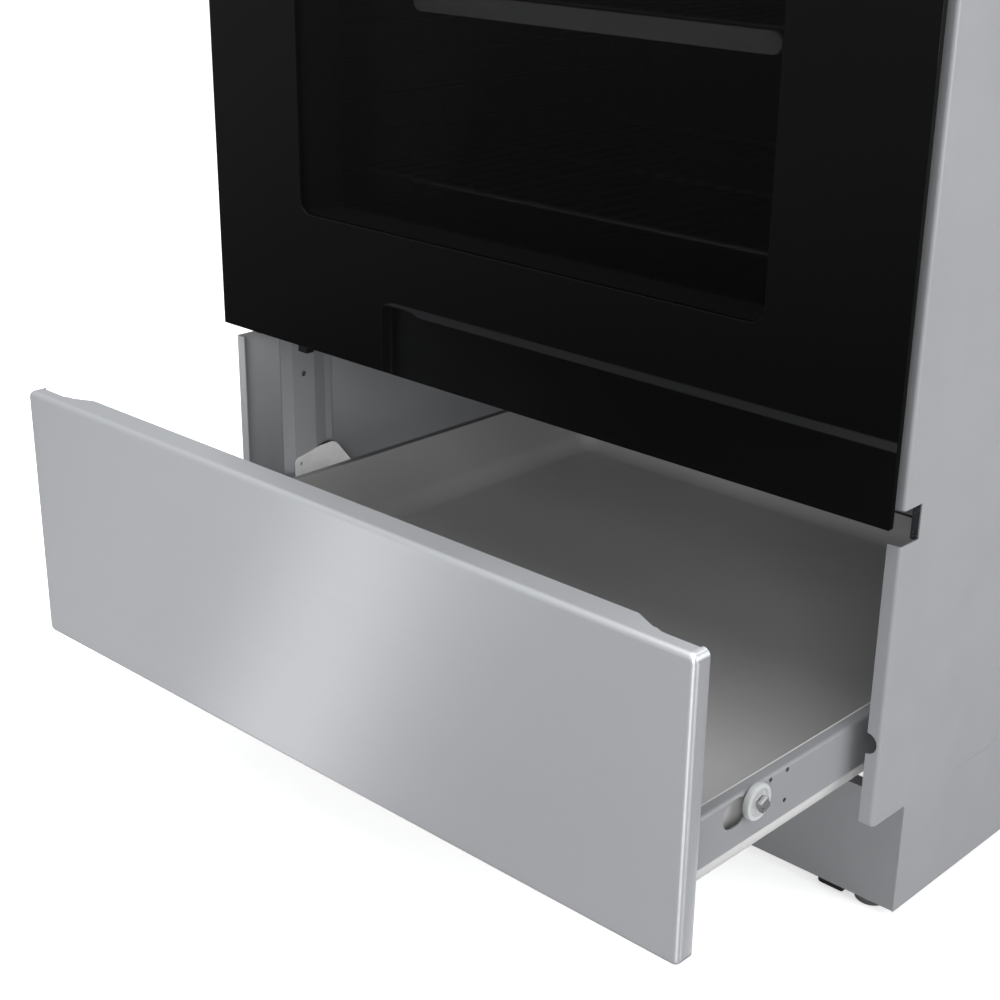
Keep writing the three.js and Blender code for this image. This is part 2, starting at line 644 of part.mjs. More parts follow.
function cooktop() {
  const rect = (inset, radius) =>
    roundedRect(
      [-HALF_WIDTH + inset, HALF_WIDTH - inset],
      [COOKTOP_Y[0] + inset, COOKTOP_Y[1] - inset],
      radius,
    );
  const well = roundedRect([-HALF_WIDTH + 14, HALF_WIDTH - 14], [COOKTOP_Y[0] + 26, BACKGUARD_Y - 12], 24);
  const underWell = roundedRect(
    [-HALF_WIDTH + 12.5, HALF_WIDTH - 12.5],
    [COOKTOP_Y[0] + 24.5, BACKGUARD_Y - 10.5],
    25.5,
  );
  const outer = alongZ(rect(0, 14), [SIDE_TOP_Z + GAP, RIM_Z], 2.5, 3);
  const skirt = block([-400, 400], [-60, 760], [SIDE_TOP_Z - 5, SIDE_TOP_Z + 3.3]);
  const deck = DECK_Z - SHEET;
  const hollow = cut(
    alongZ(rect(SHEET, 12.8), [SIDE_TOP_Z - 5, RIM_Z - SHEET]),
    alongZ(underWell, [deck, RIM_Z]),
  );
  const recess = alongZ(well, [DECK_Z, RIM_Z + 5]);
  const burnerHoles = BURNERS.map(({ x, y }) => bar([x, y, 880], [x, y, 920], 26, 16));
  return cut(outer, skirt, hollow, recess, ...burnerHoles);
}
add("cooktop", cooktop(), STAINLESS);

// Burner base: a mixing cup under the deck, a flange on it and the ring that holds the cap.
function burnerBase({ x, y, radius }) {
  const z = DECK_Z + GAP;
  const body = turned([
    [0, z - 22], [18, z - 22], [24, z - 12], [24, z], [radius - 6, z], [radius - 6, z + 3],
    [radius - 9, z + 4], [radius - 9, z + 11], [radius - 13, z + 13], [0, z + 13],
  ], 24);
  return body.translate([x, y, 0]);
}

function burnerCap({ x, y, radius }) {
  const z = DECK_Z + 2 * GAP + 13;
  return turned([
    [0, z], [radius - 6, z], [radius - 4, z + 2], [radius - 6, z + 5.5], [radius - 14, z + 7],
    [0, z + 7.5],
  ], 24).translate([x, y, 0]);
}

BURNERS.forEach((burner) => {
  add(`burner_base_${burner.place}`, burnerBase(burner), ALUMINIUM);
  add(`burner_cap_${burner.place}`, burnerCap(burner), CAST_IRON);
});

// Cast grate over the two burners of one side.
function grate() {
  const x = GRATE_X;
  const y = GRATE_Y;
  const low = GRATE_TOP_Z - BAR;
  const centre = BURNER_X;
  const rim = roundedRect(x, y, 16);
  rim.holes.push(roundedRect([x[0] + BAR, x[1] - BAR], [y[0] + BAR, y[1] - BAR], 8));
  const parts = [alongZ(rim, [low, GRATE_TOP_Z])];
  const rib = (a, b) => block([a[0], b[0]], [a[1], b[1]], [low, GRATE_TOP_Z]);
  const middle = (BURNER_Y[0] + BURNER_Y[1]) / 2;
  parts.push(rib([x[0] + 2, middle - BAR / 2], [x[1] - 2, middle + BAR / 2]));
  BURNER_Y.forEach((at) => {
    const near = at < middle ? y[0] : middle;
    const far = at < middle ? middle : y[1];
    const half = BAR / 2 - 1;
    parts.push(rib([x[0] + 2, at - half], [centre - 22, at + half]));
    parts.push(rib([centre + 22, at - half], [x[1] - 2, at + half]));
    parts.push(rib([centre - half, near + 1], [centre + half, at - 22]));
    parts.push(rib([centre - half, at + 22], [centre + half, far - 1]));
    [-85, 85].forEach((off) => {
      parts.push(rib([centre + off - half, near + 1], [centre + off + half, at - 50]));
      parts.push(rib([centre + off - half, at + 50], [centre + off + half, far - 1]));
    });
  });
  const feet = [];
  for (const fx of [x[0] + 10, x[1] - 10]) {
    for (const fy of [y[0] + 12, middle, y[1] - 12]) {
      feet.push(block([fx - 6, fx + 6], [fy - 6, fy + 6], [DECK_Z + GAP, low + 2]));
    }
  }
  return join([...parts, ...feet]);
}
addPair("grate", grate(), CAST_IRON);

// ---- Controls and gas --------------------------------------------------------------
function controlPanel() {
  const [low, high] = CONTROL_Z;
  const y = PANEL_Y;
  const profile = new THREE.Shape();
  profile.moveTo(44, low);
  profile.absarc(y + 5, low + 5, 5, -Math.PI / 2, -Math.PI, true);
  profile.absarc(y + 5, high - 5, 5, Math.PI, Math.PI / 2, true);
  profile.lineTo(y + 22, high);
  profile.lineTo(y + 22, high - SHEET);
  profile.absarc(y + 5, high - 5, 5 - SHEET, Math.PI / 2, Math.PI);
  profile.absarc(y + 5, low + 5, 5 - SHEET, Math.PI, Math.PI * 1.5);
  profile.lineTo(44, low + SHEET);
  const half = HALF_WIDTH - 0.5;
  const cap = alongX(
    roundedRect([y + 0.2, y + 22], [low + 0.2, high - 0.2], 5),
    [half - SHEET, half],
  );
  const holes = KNOB_X.map((x) => bar([x, y - 5, KNOB_Z], [x, y + 10, KNOB_Z], 6.5, 12));
  const corner = block([367, 400], [14.5, 60], [low - 1, high - 2]);
  return cut(join([alongX(profile, [-half, half]), cap, mirrored(cap)]), corner, mirrored(corner), ...holes);
}
add("control_panel", controlPanel(), STAINLESS);

// Gas rail behind the control panel with one valve body for each burner.
function gasManifold() {
  const y = 50;
  const parts = [bar([-330, y, KNOB_Z], [348, y, KNOB_Z], 8, 8)];
  KNOB_X.forEach((x) => {
    parts.push(block([x - 11, x + 11], [20, y + 2], [KNOB_Z - 12, KNOB_Z + 12]));
    parts.push(bar([x, 12, KNOB_Z], [x, 21, KNOB_Z], 9, 8));
    parts.push(bar([x, 30, KNOB_Z], [x, 30, KNOB_Z + 20], 5, 8));
  });
  const sockets = KNOB_X.map((x) => bar([x, 8, KNOB_Z], [x, 28, KNOB_Z], 4.4, 8));
  return cut(join(parts), ...sockets);
}
add("gas_manifold", gasManifold(), BRASS);

// Pressure regulator and inlet at the lower back, and the pipe that feeds the gas rail.
function gasRegulator() {
  const [x, z] = INLET;
  const y = REGULATOR_Y;
  const body = turned([[0, 0], [26, 0], [30, 5], [30, 16], [20, 26], [8, 34], [0, 34]], 20);
  const nipple = cut(
    bar([x, y, z], [x, REAR_Y - 1, z], 13, 6),
    bar([x, y + 10, z], [x, REAR_Y + 2, z], 8, 16),
  );
  const plug = bar([x, y, z - 10], [x, y, z - 30], 10, 8);
  return join([body.translate([x, y, z - 13]), nipple, plug]);
}
add("gas_regulator", gasRegulator(), ALUMINIUM);

function gasPipe() {
  const [x, z] = INLET;
  const y = REGULATOR_Y;
  const side = x + 86;
  const top = KNOB_Z;
  return tube([
    [x, y, z + 22], [x, y, z + 50], [x + 30, y, z + 120], [side, y, z + 220],
    [side, y, top - 60], [side, y - 10, top - 8], [side, y - 60, top], [side, 320, top],
    [side, 120, top], [side, 59, top],
  ], 6, 6, 22);
}
add("gas_supply_pipe", gasPipe(), ALUMINIUM);

// Valve stems and knobs. A knob slides on the flat-sided end of its stem.
function valveStem(x) {
  const shaft = bar([x, -22, KNOB_Z], [x, 26, KNOB_Z], 3.5, 12);
  return cut(shaft, block([x - 5, x + 5], [-25, -4], [KNOB_Z + 2, KNOB_Z + 6]));
}

function knob(x) {
  const skirt = turned([
    [0, 0], [KNOB_R, 0], [KNOB_R + 1, 2], [KNOB_R - 1.5, 8], [KNOB_R - 2.5, 22], [KNOB_R - 5, 24.5],
    [0, 24.5],
  ], 20);
  const grip = alongZ(roundedRect([-5, 5], [-KNOB_R + 2, KNOB_R - 2], 4), [20, 31], 2, 2);
  const hub = turned([[0, -3], [5.4, -3], [5.4, 5], [0, 5]], 12);
  const bore = cut(
    turned([[0, -5], [3.8, -5], [3.8, 15], [0, 15]], 12),
    block([-5, 5], [2.3, 6], [-1.6, 20]),
  );
  const whole = cut(join([skirt, grip, hub]), bore);
  return whole.rotate([90, 0, 0]).translate([x, PANEL_Y - 5.5, KNOB_Z]);
}

KNOB_X.forEach((x, i) => {
  add(`valve_stem_${i + 1}`, valveStem(x), BRASS);
  add(`knob_${i + 1}`, knob(x), STAINLESS);
});

// ---- Backguard ---------------------------------------------------------------------
function backguard() {
  const [low, high] = BACKGUARD_Z;
  const y = BACKGUARD_Y;
  const side = new THREE.Shape();
  side.moveTo(y, low);
  side.lineTo(y, low + 60);
  side.absarc(y + 26, high - 14, 14, Math.PI, Math.PI / 2, true);
  side.lineTo(REAR_Y, high);
  side.lineTo(REAR_Y, low);
  const half = HALF_WIDTH - 0.5;
  const hollow = new THREE.Shape();
  hollow.moveTo(y + SHEET, low - 5);
  hollow.lineTo(y + SHEET, low + 60);
  hollow.absarc(y + 26, high - 14, 14 - SHEET, Math.PI, Math.PI / 2, true);
  hollow.lineTo(REAR_Y - SHEET, high - SHEET);
  hollow.lineTo(REAR_Y - SHEET, low - 5);
  const vents = [];
  for (let i = 0; i < 8; i += 1) {
    const x = -175 + 50 * i;
    vents.push(block([x - 16, x + 16], [y - 4, y + 8], [low + 22, low + 30]));
  }
  return cut(alongX(side, [-half, half], 3), alongX(hollow, [-half + SHEET, half - SHEET], 3), ...vents);
}
add("backguard", backguard(), STAINLESS);

// Touch panel on the sloped face of the backguard.
function displayPanel() {
  const low = BACKGUARD_Z[0] + 60;
  const rise = BACKGUARD_Z[1] - 14 - low;
  const lean = Math.atan2(12, rise);
  const length = Math.hypot(rise, 12);
  const panel = alongY(roundedRect([-215, 215], [length * 0.22, length * 0.82], 6), [-3.3, -GAP]);
  return panel.rotate([(-lean * 180) / Math.PI, 0, 0]).translate([0, BACKGUARD_Y, low]);
}
add("display_panel", displayPanel(), BLACK_GLASS);

// ---- The part ----------------------------------------------------------------------
const FRONT_MOST = -DRAWER_OUT;
const REAR_MOST = REAR_Y + GAP + SHEET;
range.position.y = -(FRONT_MOST + REAR_MOST) / 2;

const group = new THREE.Group();
group.add(range);
export default group;
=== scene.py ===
"""Looks of a freestanding gas range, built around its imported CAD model.

Shapes are worked out in millimetres in the range's own frame: X to the right, Y to the back from
the front face of the door's glass, Z up from the floor. placed() turns them into the row frame.
"""

import math

import bmesh
import bpy
from mathutils import Matrix, Vector

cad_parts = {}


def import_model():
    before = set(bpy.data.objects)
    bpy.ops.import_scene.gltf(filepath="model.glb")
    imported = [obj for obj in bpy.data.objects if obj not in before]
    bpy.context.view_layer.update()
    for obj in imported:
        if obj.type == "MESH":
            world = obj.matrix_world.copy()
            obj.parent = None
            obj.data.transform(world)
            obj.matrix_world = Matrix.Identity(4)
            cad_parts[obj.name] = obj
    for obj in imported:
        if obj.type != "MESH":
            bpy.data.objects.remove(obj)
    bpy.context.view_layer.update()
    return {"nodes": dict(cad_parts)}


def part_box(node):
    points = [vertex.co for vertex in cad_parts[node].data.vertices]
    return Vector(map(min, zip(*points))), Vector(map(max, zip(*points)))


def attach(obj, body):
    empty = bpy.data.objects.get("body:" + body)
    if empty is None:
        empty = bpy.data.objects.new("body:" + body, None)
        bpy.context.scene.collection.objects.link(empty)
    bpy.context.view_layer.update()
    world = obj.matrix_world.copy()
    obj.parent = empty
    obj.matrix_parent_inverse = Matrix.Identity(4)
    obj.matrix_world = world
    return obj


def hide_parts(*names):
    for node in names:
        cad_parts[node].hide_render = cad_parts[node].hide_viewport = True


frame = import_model()

# ---- Driving dimensions, in millimetres ----------------------------------------------
MM = 0.001
GLASS_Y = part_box("door_glass")[0].y


def span(node, axis):
    """Lowest and highest coordinate of a CAD node along an axis, in the range's own frame."""
    low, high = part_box(node)
    shift = GLASS_Y if axis == 1 else 0
    return (low[axis] - shift) / MM, (high[axis] - shift) / MM


SHEET = 1.2
HALF_WIDTH = span("side_panel_right", 0)[1]
FRONT_Y, REAR_Y = span("side_panel_right", 1)
PANEL_Z, SIDE_TOP_Z = span("side_panel_right", 2)
FLANGE = 11.7
TOE_Y = span("toe_panel", 1)[0]
TOE_TOP_Z = span("toe_panel", 2)[1]
NOTCH_Y = 39
NOTCH_Z = (345, 373)
FOOT_X = 348
FOOT_Y = {"front": 84, "rear": REAR_Y - 50}
GLASS_DEPTH = span("door_glass", 1)[1]
DOOR_HALF = span("door_glass", 0)[1]
DOOR_Z = span("door_glass", 2)
WINDOW_HALF = 256.7
WINDOW_Z = (488, 736)
DRAWER_HALF = span("drawer_front", 0)[1]
DRAWER_Z = span("drawer_front", 2)
DRAWER_Y = span("drawer_front", 1)[0]
TUB_HALF = 343
TUB_Y = (-205, 510)
TUB_FLOOR_Z = 118
RAIL_HALF = 354
RAIL_Z = (148, 191)
ROLLER_Y = -111
ROLLER_Z = 180
ROLLER_R = 14.5
RACK_HALF = 302
RACK_Y = (88, 498)
RACK_Z = [span(node, 2)[1] - 3 for node in ("oven_rack_lower", "oven_rack_upper")]
DECK_Z = 906
RIM_Z = span("cooktop", 2)[1]
COOKTOP_Y = span("cooktop", 1)
BACKGUARD_Y = span("backguard", 1)[0]
BACKGUARD_Z = span("backguard", 2)
BURNERS = ("front_left", "front_right", "rear_left", "rear_right")
CONTROL_Z = span("control_panel", 2)
CONTROL_Y = span("control_panel", 1)[0]
KNOBS = (1, 2, 3, 4)
KNOB_R = 21


# ---- Meshes --------------------------------------------------------------------------
def temporary(data):
    holder = bpy.data.objects.new("temporary", data)
    bpy.context.scene.collection.objects.link(holder)
    return holder


def evaluated(holder):
    """The mesh of an object with its modifiers applied; the object itself goes away."""
    graph = bpy.context.evaluated_depsgraph_get()
    mesh = bpy.data.meshes.new_from_object(holder.evaluated_get(graph))
    bpy.data.objects.remove(holder)
    return mesh


def cleaned(mesh):
    edit = bmesh.new()
    edit.from_mesh(mesh)
    bmesh.ops.remove_doubles(edit, verts=edit.verts, dist=1e-4)
    bmesh.ops.recalc_face_normals(edit, faces=edit.faces)
    edit.to_mesh(mesh)
    edit.free()
    return mesh


def joined(*meshes):
    edit = bmesh.new()
    for mesh in meshes:
        edit.from_mesh(mesh)
    whole = bpy.data.meshes.new("joined")
    edit.to_mesh(whole)
    edit.free()
    return whole


def moved(mesh, matrix):
    copy = mesh.copy()
    copy.transform(matrix)
    if matrix.determinant() < 0:
        copy.flip_normals()
    return copy


def mirrored(mesh):
    return moved(mesh, Matrix.Scale(-1, 4, (1, 0, 0)))


def combined(operation, base, *others):
    """A boolean of meshes: UNION or DIFFERENCE."""
    holder = temporary(base)
    tools = [temporary(other) for other in others]
    for tool in tools:
        step = holder.modifiers.new("step", "BOOLEAN")
        step.operation = operation
        step.solver = "EXACT"
        step.object = tool
    mesh = evaluated(holder)
    for tool in tools:
        bpy.data.objects.remove(tool)
    return cleaned(mesh)


def union(base, *others):
    return combined("UNION", base, *others)


def cut(base, *others):
    return combined("DIFFERENCE", base, *others)


AXES = {
    "x": Matrix(((0, 0, 1, 0), (1, 0, 0, 0), (0, 1, 0, 0), (0, 0, 0, 1))),
    "y": Matrix(((1, 0, 0, 0), (0, 0, -1, 0), (0, 1, 0, 0), (0, 0, 0, 1))),
    "z": Matrix.Identity(4),
}


def plate(outlines, axis, ends, bevel=0.0, steps=2):
    """Outlines extruded along an axis, with rounded end edges. All but the first are holes."""
    curve = bpy.data.curves.new("plate", "CURVE")
    curve.dimensions = "2D"
    curve.fill_mode = "BOTH"
    curve.extrude = (ends[1] - ends[0]) / 2 - bevel
    curve.bevel_depth = bevel
    curve.bevel_resolution = steps
    curve.offset = -bevel
    for index, outline in enumerate(outlines):
        area = sum(a[0] * b[1] - b[0] * a[1] for a, b in zip(outline, outline[1:] + outline[:1]))
        points = outline if (area > 0) == (index == 0) else outline[::-1]
        spline = curve.splines.new("POLY")
        spline.points.add(len(points) - 1)
        spline.use_cyclic_u = True
        for point, (a, b) in zip(spline.points, points):
            point.co = (a, b, 0, 1)
    mesh = cleaned(evaluated(temporary(curve)))
    middle = (ends[0] + ends[1]) / 2
    mesh.transform(AXES[axis] @ Matrix.Translation((0, 0, middle if axis != "y" else -middle)))
    return mesh


def arc(centre, radius, start, end, steps=6):
    """Points on an arc, angles in degrees."""
    turn = [math.radians(start + (end - start) * i / steps) for i in range(steps + 1)]
    return [(centre[0] + radius * math.cos(t), centre[1] + radius * math.sin(t)) for t in turn]


def rounded(a, b, radius, steps=6):
    """A rectangle with round corners."""
    return (
        arc((a[1] - radius, b[0] + radius), radius, -90, 0, steps)
        + arc((a[1] - radius, b[1] - radius), radius, 0, 90, steps)
        + arc((a[0] + radius, b[1] - radius), radius, 90, 180, steps)
        + arc((a[0] + radius, b[0] + radius), radius, 180, 270, steps)
    )


def circle(centre, radius, steps=24):
    return arc(centre, radius, 0, 360, steps)[:-1]


def rectangle(a, b):
    return [(a[0], b[0]), (a[1], b[0]), (a[1], b[1]), (a[0], b[1])]


def block(x, y, z, bevel=0.0):
    return plate([rectangle(x, y)], "z", z, bevel)


def turned(profile, segments=48):
    """A profile of (radius, height) turned about Z. It starts and ends on the axis or closes on itself."""
    edit = bmesh.new()
    rings = []
    for radius, height in profile:
        if radius < 1e-6:
            rings.append([edit.verts.new((0, 0, height))])
            continue
        ring = []
        for i in range(segments):
            angle = 2 * math.pi * i / segments
            ring.append(edit.verts.new((radius * math.cos(angle), radius * math.sin(angle), height)))
        rings.append(ring)
    if len(rings[0]) > 1:
        rings.append(rings[0])
    for low, high in zip(rings, rings[1:]):
        for i in range(segments if len(low) + len(high) > 2 else 0):
            j = (i + 1) % segments
            corners = [low[i % len(low)], low[j % len(low)], high[j % len(high)], high[i % len(high)]]
            edit.faces.new(list(dict.fromkeys(corners)))
    bmesh.ops.recalc_face_normals(edit, faces=edit.faces)
    mesh = bpy.data.meshes.new("turned")
    edit.to_mesh(mesh)
    edit.free()
    return mesh


def along(mesh, axis, place):
    """A turned mesh laid along an axis, with its origin moved to a place."""
    turns = {
        "x": Matrix.Rotation(math.pi / 2, 4, "Y"),
        "-y": Matrix.Rotation(math.pi / 2, 4, "X"),
        "y": Matrix.Rotation(-math.pi / 2, 4, "X"),
        "z": Matrix.Identity(4),
    }
    return moved(mesh, Matrix.Translation(place) @ turns[axis])


def bent(points, radius, closed=False, steps=6):
    """A path with its corners rounded."""
    points = [Vector(point) for point in points]
    path = []
    for i, point in enumerate(points):
        if not closed and i in (0, len(points) - 1):
            path.append(point)
            continue
        before = (points[i - 1] - point).normalized()
        after = (points[(i + 1) % len(points)] - point).normalized()
        half = before.angle(after) / 2
        reach = radius / math.tan(half)
        start = point + before * reach
        end = point + after * reach
        for k in range(steps + 1):
            t = k / steps
            path.append((1 - t) ** 2 * start + 2 * t * (1 - t) * point + t**2 * end)
    return path


def tube(path, radius, closed=False, resolution=3):
    curve = bpy.data.curves.new("tube", "CURVE")
    curve.dimensions = "3D"
    curve.bevel_depth = radius
    curve.bevel_resolution = resolution
    curve.use_fill_caps = not closed
    spline = curve.splines.new("POLY")
    spline.points.add(len(path) - 1)
    spline.use_cyclic_u = closed
    for point, place in zip(spline.points, path):
        point.co = (*place, 1)
    return cleaned(evaluated(temporary(curve)))


def screw():
    """A pan-head screw with a cross recess, standing up from Z = 0."""
    radius = 3.6
    profile = [
        (0, 0), (radius, 0), (radius, 0.5), (radius * 0.85, 1.4), (radius * 0.5, 1.9), (0, 2.1),
    ]
    head = turned(profile, 20)
    arm = radius * 0.62
    slots = [block((-arm, arm), (-0.45, 0.45), (0.9, 3)), block((-0.45, 0.45), (-arm, arm), (0.9, 3))]
    return cut(head, *slots)


SCREW = screw()
SHARP = math.radians(34)


def placed(mesh):
    """A mesh in millimetres in the range's frame, moved into the row frame in metres."""
    mesh.transform(Matrix.Translation((0, GLASS_Y, 0)) @ Matrix.Scale(MM, 4))
    return mesh


def piece(name, mesh, finish, body, replaces=()):
    """Makes a visible piece that rides on a body and stands in for CAD nodes."""
    mesh = placed(mesh if mesh.users == 0 else mesh.copy())
    mesh.name = name
    for polygon in mesh.polygons:
        polygon.use_smooth = True
    mesh.set_sharp_from_angle(angle=SHARP)
    mesh.materials.clear()
    mesh.materials.append(finish)
    made = bpy.data.objects.new(name, mesh)
    bpy.context.scene.collection.objects.link(made)
    level = made.modifiers.new("level", "WEIGHTED_NORMAL")
    level.keep_sharp = True
    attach(made, body)
    if replaces:
        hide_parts(*replaces)
    return made


def pair(name, right, finish, body, replaces=()):
    """A piece on the right and its mirror image on the left. CAD nodes are named without a side."""
    for side, mesh in (("right", right), ("left", mirrored(right))):
        piece(f"{name}_{side}", mesh, finish, body, [f"{node}_{side}" for node in replaces])


# ---- Materials -----------------------------------------------------------------------
class Finish:
    """A Principled material and the nodes that give it its detail."""

    def __init__(self, name, colour, roughness, metallic=0.0, **sockets):
        self.material = bpy.data.materials.new(name)
        self.material.use_nodes = True
        self.nodes = self.material.node_tree.nodes
        self.links = self.material.node_tree.links
        self.shader = self.nodes["Principled BSDF"]
        self.colour = (*colour, 1)
        self.roughness = roughness
        self.shader.inputs["Base Color"].default_value = self.colour
        self.shader.inputs["Roughness"].default_value = roughness
        self.shader.inputs["Metallic"].default_value = metallic
        for socket, value in sockets.items():
            self.shader.inputs[socket.replace("_", " ")].default_value = value
        self.place = self.nodes.new("ShaderNodeTexCoord").outputs["Object"]
        self.relief = None

    def noise(self, scale, stretch=(1, 1, 1), detail=3.0):
        mapping = self.nodes.new("ShaderNodeMapping")
        mapping.inputs["Scale"].default_value = [scale * s for s in stretch]
        self.links.new(self.place, mapping.inputs["Vector"])
        texture = self.nodes.new("ShaderNodeTexNoise")
        texture.inputs["Scale"].default_value = 1
        texture.inputs["Detail"].default_value = detail
        self.links.new(mapping.outputs["Vector"], texture.inputs["Vector"])
        return texture.outputs["Fac"]

    def ramp(self, value, low, high, start=0.3, end=0.7):
        """A value between start and end spread over low to high."""
        node = self.nodes.new("ShaderNodeMapRange")
        node.inputs["From Min"].default_value = start
        node.inputs["From Max"].default_value = end
        node.inputs["To Min"].default_value = low
        node.inputs["To Max"].default_value = high
        self.links.new(value, node.inputs["Value"])
        return node.outputs["Result"]

    def shade(self, value, colour, amount=1.0):
        """Mixes a colour into the base colour by a value."""
        mix = self.nodes.new("ShaderNodeMix")
        mix.data_type = "RGBA"
        base = self.shader.inputs["Base Color"]
        if base.is_linked:
            self.links.new(base.links[0].from_socket, mix.inputs["A"])
        else:
            mix.inputs["A"].default_value = base.default_value
        mix.inputs["B"].default_value = (*colour, 1)
        self.links.new(self.ramp(value, 0, amount, 0, 1), mix.inputs["Factor"])
        self.links.new(mix.outputs["Result"], base)

    def gloss(self, value, spread):
        """Varies the roughness by a value."""
        low, high = self.roughness - spread, self.roughness + spread
        self.links.new(self.ramp(value, low, high), self.shader.inputs["Roughness"])

    def bump(self, value, depth):
        """Adds relief of a depth in metres."""
        node = self.nodes.new("ShaderNodeBump")
        node.inputs["Strength"].default_value = 1
        node.inputs["Distance"].default_value = depth
        self.links.new(value, node.inputs["Height"])
        if self.relief:
            self.links.new(self.relief, node.inputs["Normal"])
        self.relief = node.outputs["Normal"]
        self.links.new(self.relief, self.shader.inputs["Normal"])

    def streaked(self, rotation):
        """Spreads highlights across the brushing, which runs around the Z axis."""
        tangent = self.nodes.new("ShaderNodeTangent")
        tangent.direction_type = "RADIAL"
        tangent.axis = "Z"
        self.links.new(tangent.outputs["Tangent"], self.shader.inputs["Tangent"])
        self.shader.inputs["Anisotropic"].default_value = 0.95
        self.shader.inputs["Anisotropic Rotation"].default_value = rotation


def paint(name, colour, roughness=0.42, metallic=0.25):
    """Baked grey paint: a fine orange peel and a faint cloudiness."""
    made = Finish(name, colour, roughness, metallic)
    made.shade(made.ramp(made.noise(6), 0, 1), [c * 0.93 for c in colour])
    made.gloss(made.noise(30), 0.04)
    made.bump(made.noise(420), 0.00004)
    made.bump(made.noise(2400, detail=1), 0.000008)
    return made.material


def brushed(name, colour, roughness, metallic, stretch, strong=1.0, turn=None):
    """Brushed steel: long hair-thin lines along the axes whose stretch is small."""
    made = Finish(name, colour, roughness, metallic)
    lines = made.noise(1, stretch, 2)
    fine = made.noise(2.3, stretch, 4)
    made.shade(made.ramp(lines, 0, 1), [c * (1 - 0.07 * strong) for c in colour])
    made.shade(made.ramp(made.noise(3), 0, 0.5), [c * 0.94 for c in colour])
    made.gloss(fine, 0.05)
    made.bump(fine, 0.000006 * strong)
    if turn is not None:
        made.streaked(turn)
    return made.material


def enamel(name, colour, roughness, flecks=0.0):
    """Porcelain enamel: a faint waviness, and pale flecks in an oven."""
    made = Finish(name, colour, roughness, 0.0, Coat_Weight=0.3, Coat_Roughness=0.1)
    if flecks:
        made.shade(made.ramp(made.noise(900, detail=0), 0, 1, 0.7, 0.78), (0.35, 0.35, 0.36), flecks)
    made.shade(made.ramp(made.noise(9), 0, 0.5), [c * 0.7 for c in colour])
    made.gloss(made.noise(40), 0.05)
    made.bump(made.noise(110), 0.00003)
    return made.material


def galvanised(name, colour, roughness=0.42):
    """Zinc-coated steel with its spangle."""
    made = Finish(name, colour, roughness, 0.7)
    cells = made.nodes.new("ShaderNodeTexVoronoi")
    cells.inputs["Scale"].default_value = 90
    made.links.new(made.place, cells.inputs["Vector"])
    made.shade(cells.outputs["Distance"], [c * 0.75 for c in colour], 0.8)
    made.gloss(made.noise(60), 0.1)
    made.bump(made.noise(300), 0.00002)
    return made.material


def cast_iron(name):
    made = Finish(name, (0.012, 0.012, 0.013), 0.62, 0.1)
    made.shade(made.ramp(made.noise(40), 0, 1), (0.03, 0.029, 0.028))
    made.gloss(made.noise(150), 0.08)
    made.bump(made.noise(380, detail=4), 0.00022)
    made.bump(made.noise(1500, detail=2), 0.00006)
    return made.material


def plastic(name, colour, roughness, grain=0.00002):
    made = Finish(name, colour, roughness)
    made.shade(made.ramp(made.noise(50), 0, 0.6), [c * 0.85 for c in colour])
    made.gloss(made.noise(220), 0.05)
    made.bump(made.noise(1300), grain)
    return made.material


def metal(name, colour, roughness, metallic=0.95):
    made = Finish(name, colour, roughness, metallic)
    made.shade(made.ramp(made.noise(70), 0, 0.6), [c * 0.8 for c in colour])
    made.gloss(made.noise(260), 0.06)
    made.bump(made.noise(900), 0.00001)
    return made.material


def black_glass(name):
    """Glass printed black behind, with the faint unevenness of a float pane."""
    made = Finish(name, (0.0012, 0.0012, 0.0013), 0.03, 0.0, Specular_IOR_Level=0.32)
    made.shade(made.ramp(made.noise(2), 0, 0.6), (0.002, 0.002, 0.0021))
    made.gloss(made.noise(25), 0.012)
    made.bump(made.noise(5, detail=1), 0.00002)
    return made.material


def clear_glass(name, alpha, level):
    """Tinted see-through glass: what is behind it shows darker."""
    made = Finish(name, (0.0006, 0.0006, 0.0007), 0.02, 0.0, Alpha=alpha, Specular_IOR_Level=level)
    made.gloss(made.noise(20), 0.01)
    made.bump(made.noise(5, detail=1), 0.00002)
    return made.material


def woven(name):
    """Glass-fibre rope: a tight braid."""
    made = Finish(name, (0.06, 0.06, 0.062), 0.9, 0.0, Sheen_Weight=0.2)
    wave = made.nodes.new("ShaderNodeTexWave")
    wave.inputs["Scale"].default_value = 180
    wave.inputs["Distortion"].default_value = 1.5
    made.links.new(made.place, wave.inputs["Vector"])
    made.shade(wave.outputs["Fac"], (0.02, 0.02, 0.021), 0.7)
    made.bump(wave.outputs["Fac"], 0.0004)
    return made.material


GREY = (0.335, 0.34, 0.355)
STEEL = (0.52, 0.53, 0.55)
PAINT = paint("grey_paint", GREY)
# A darker copy of the grey paint for the drawer rails and the toe panel: painted shade for these low parts,
# which sit in less light.
PAINT_PAINTED_SHADE = paint("grey_paint_painted_shade", [c * 0.86 for c in GREY])
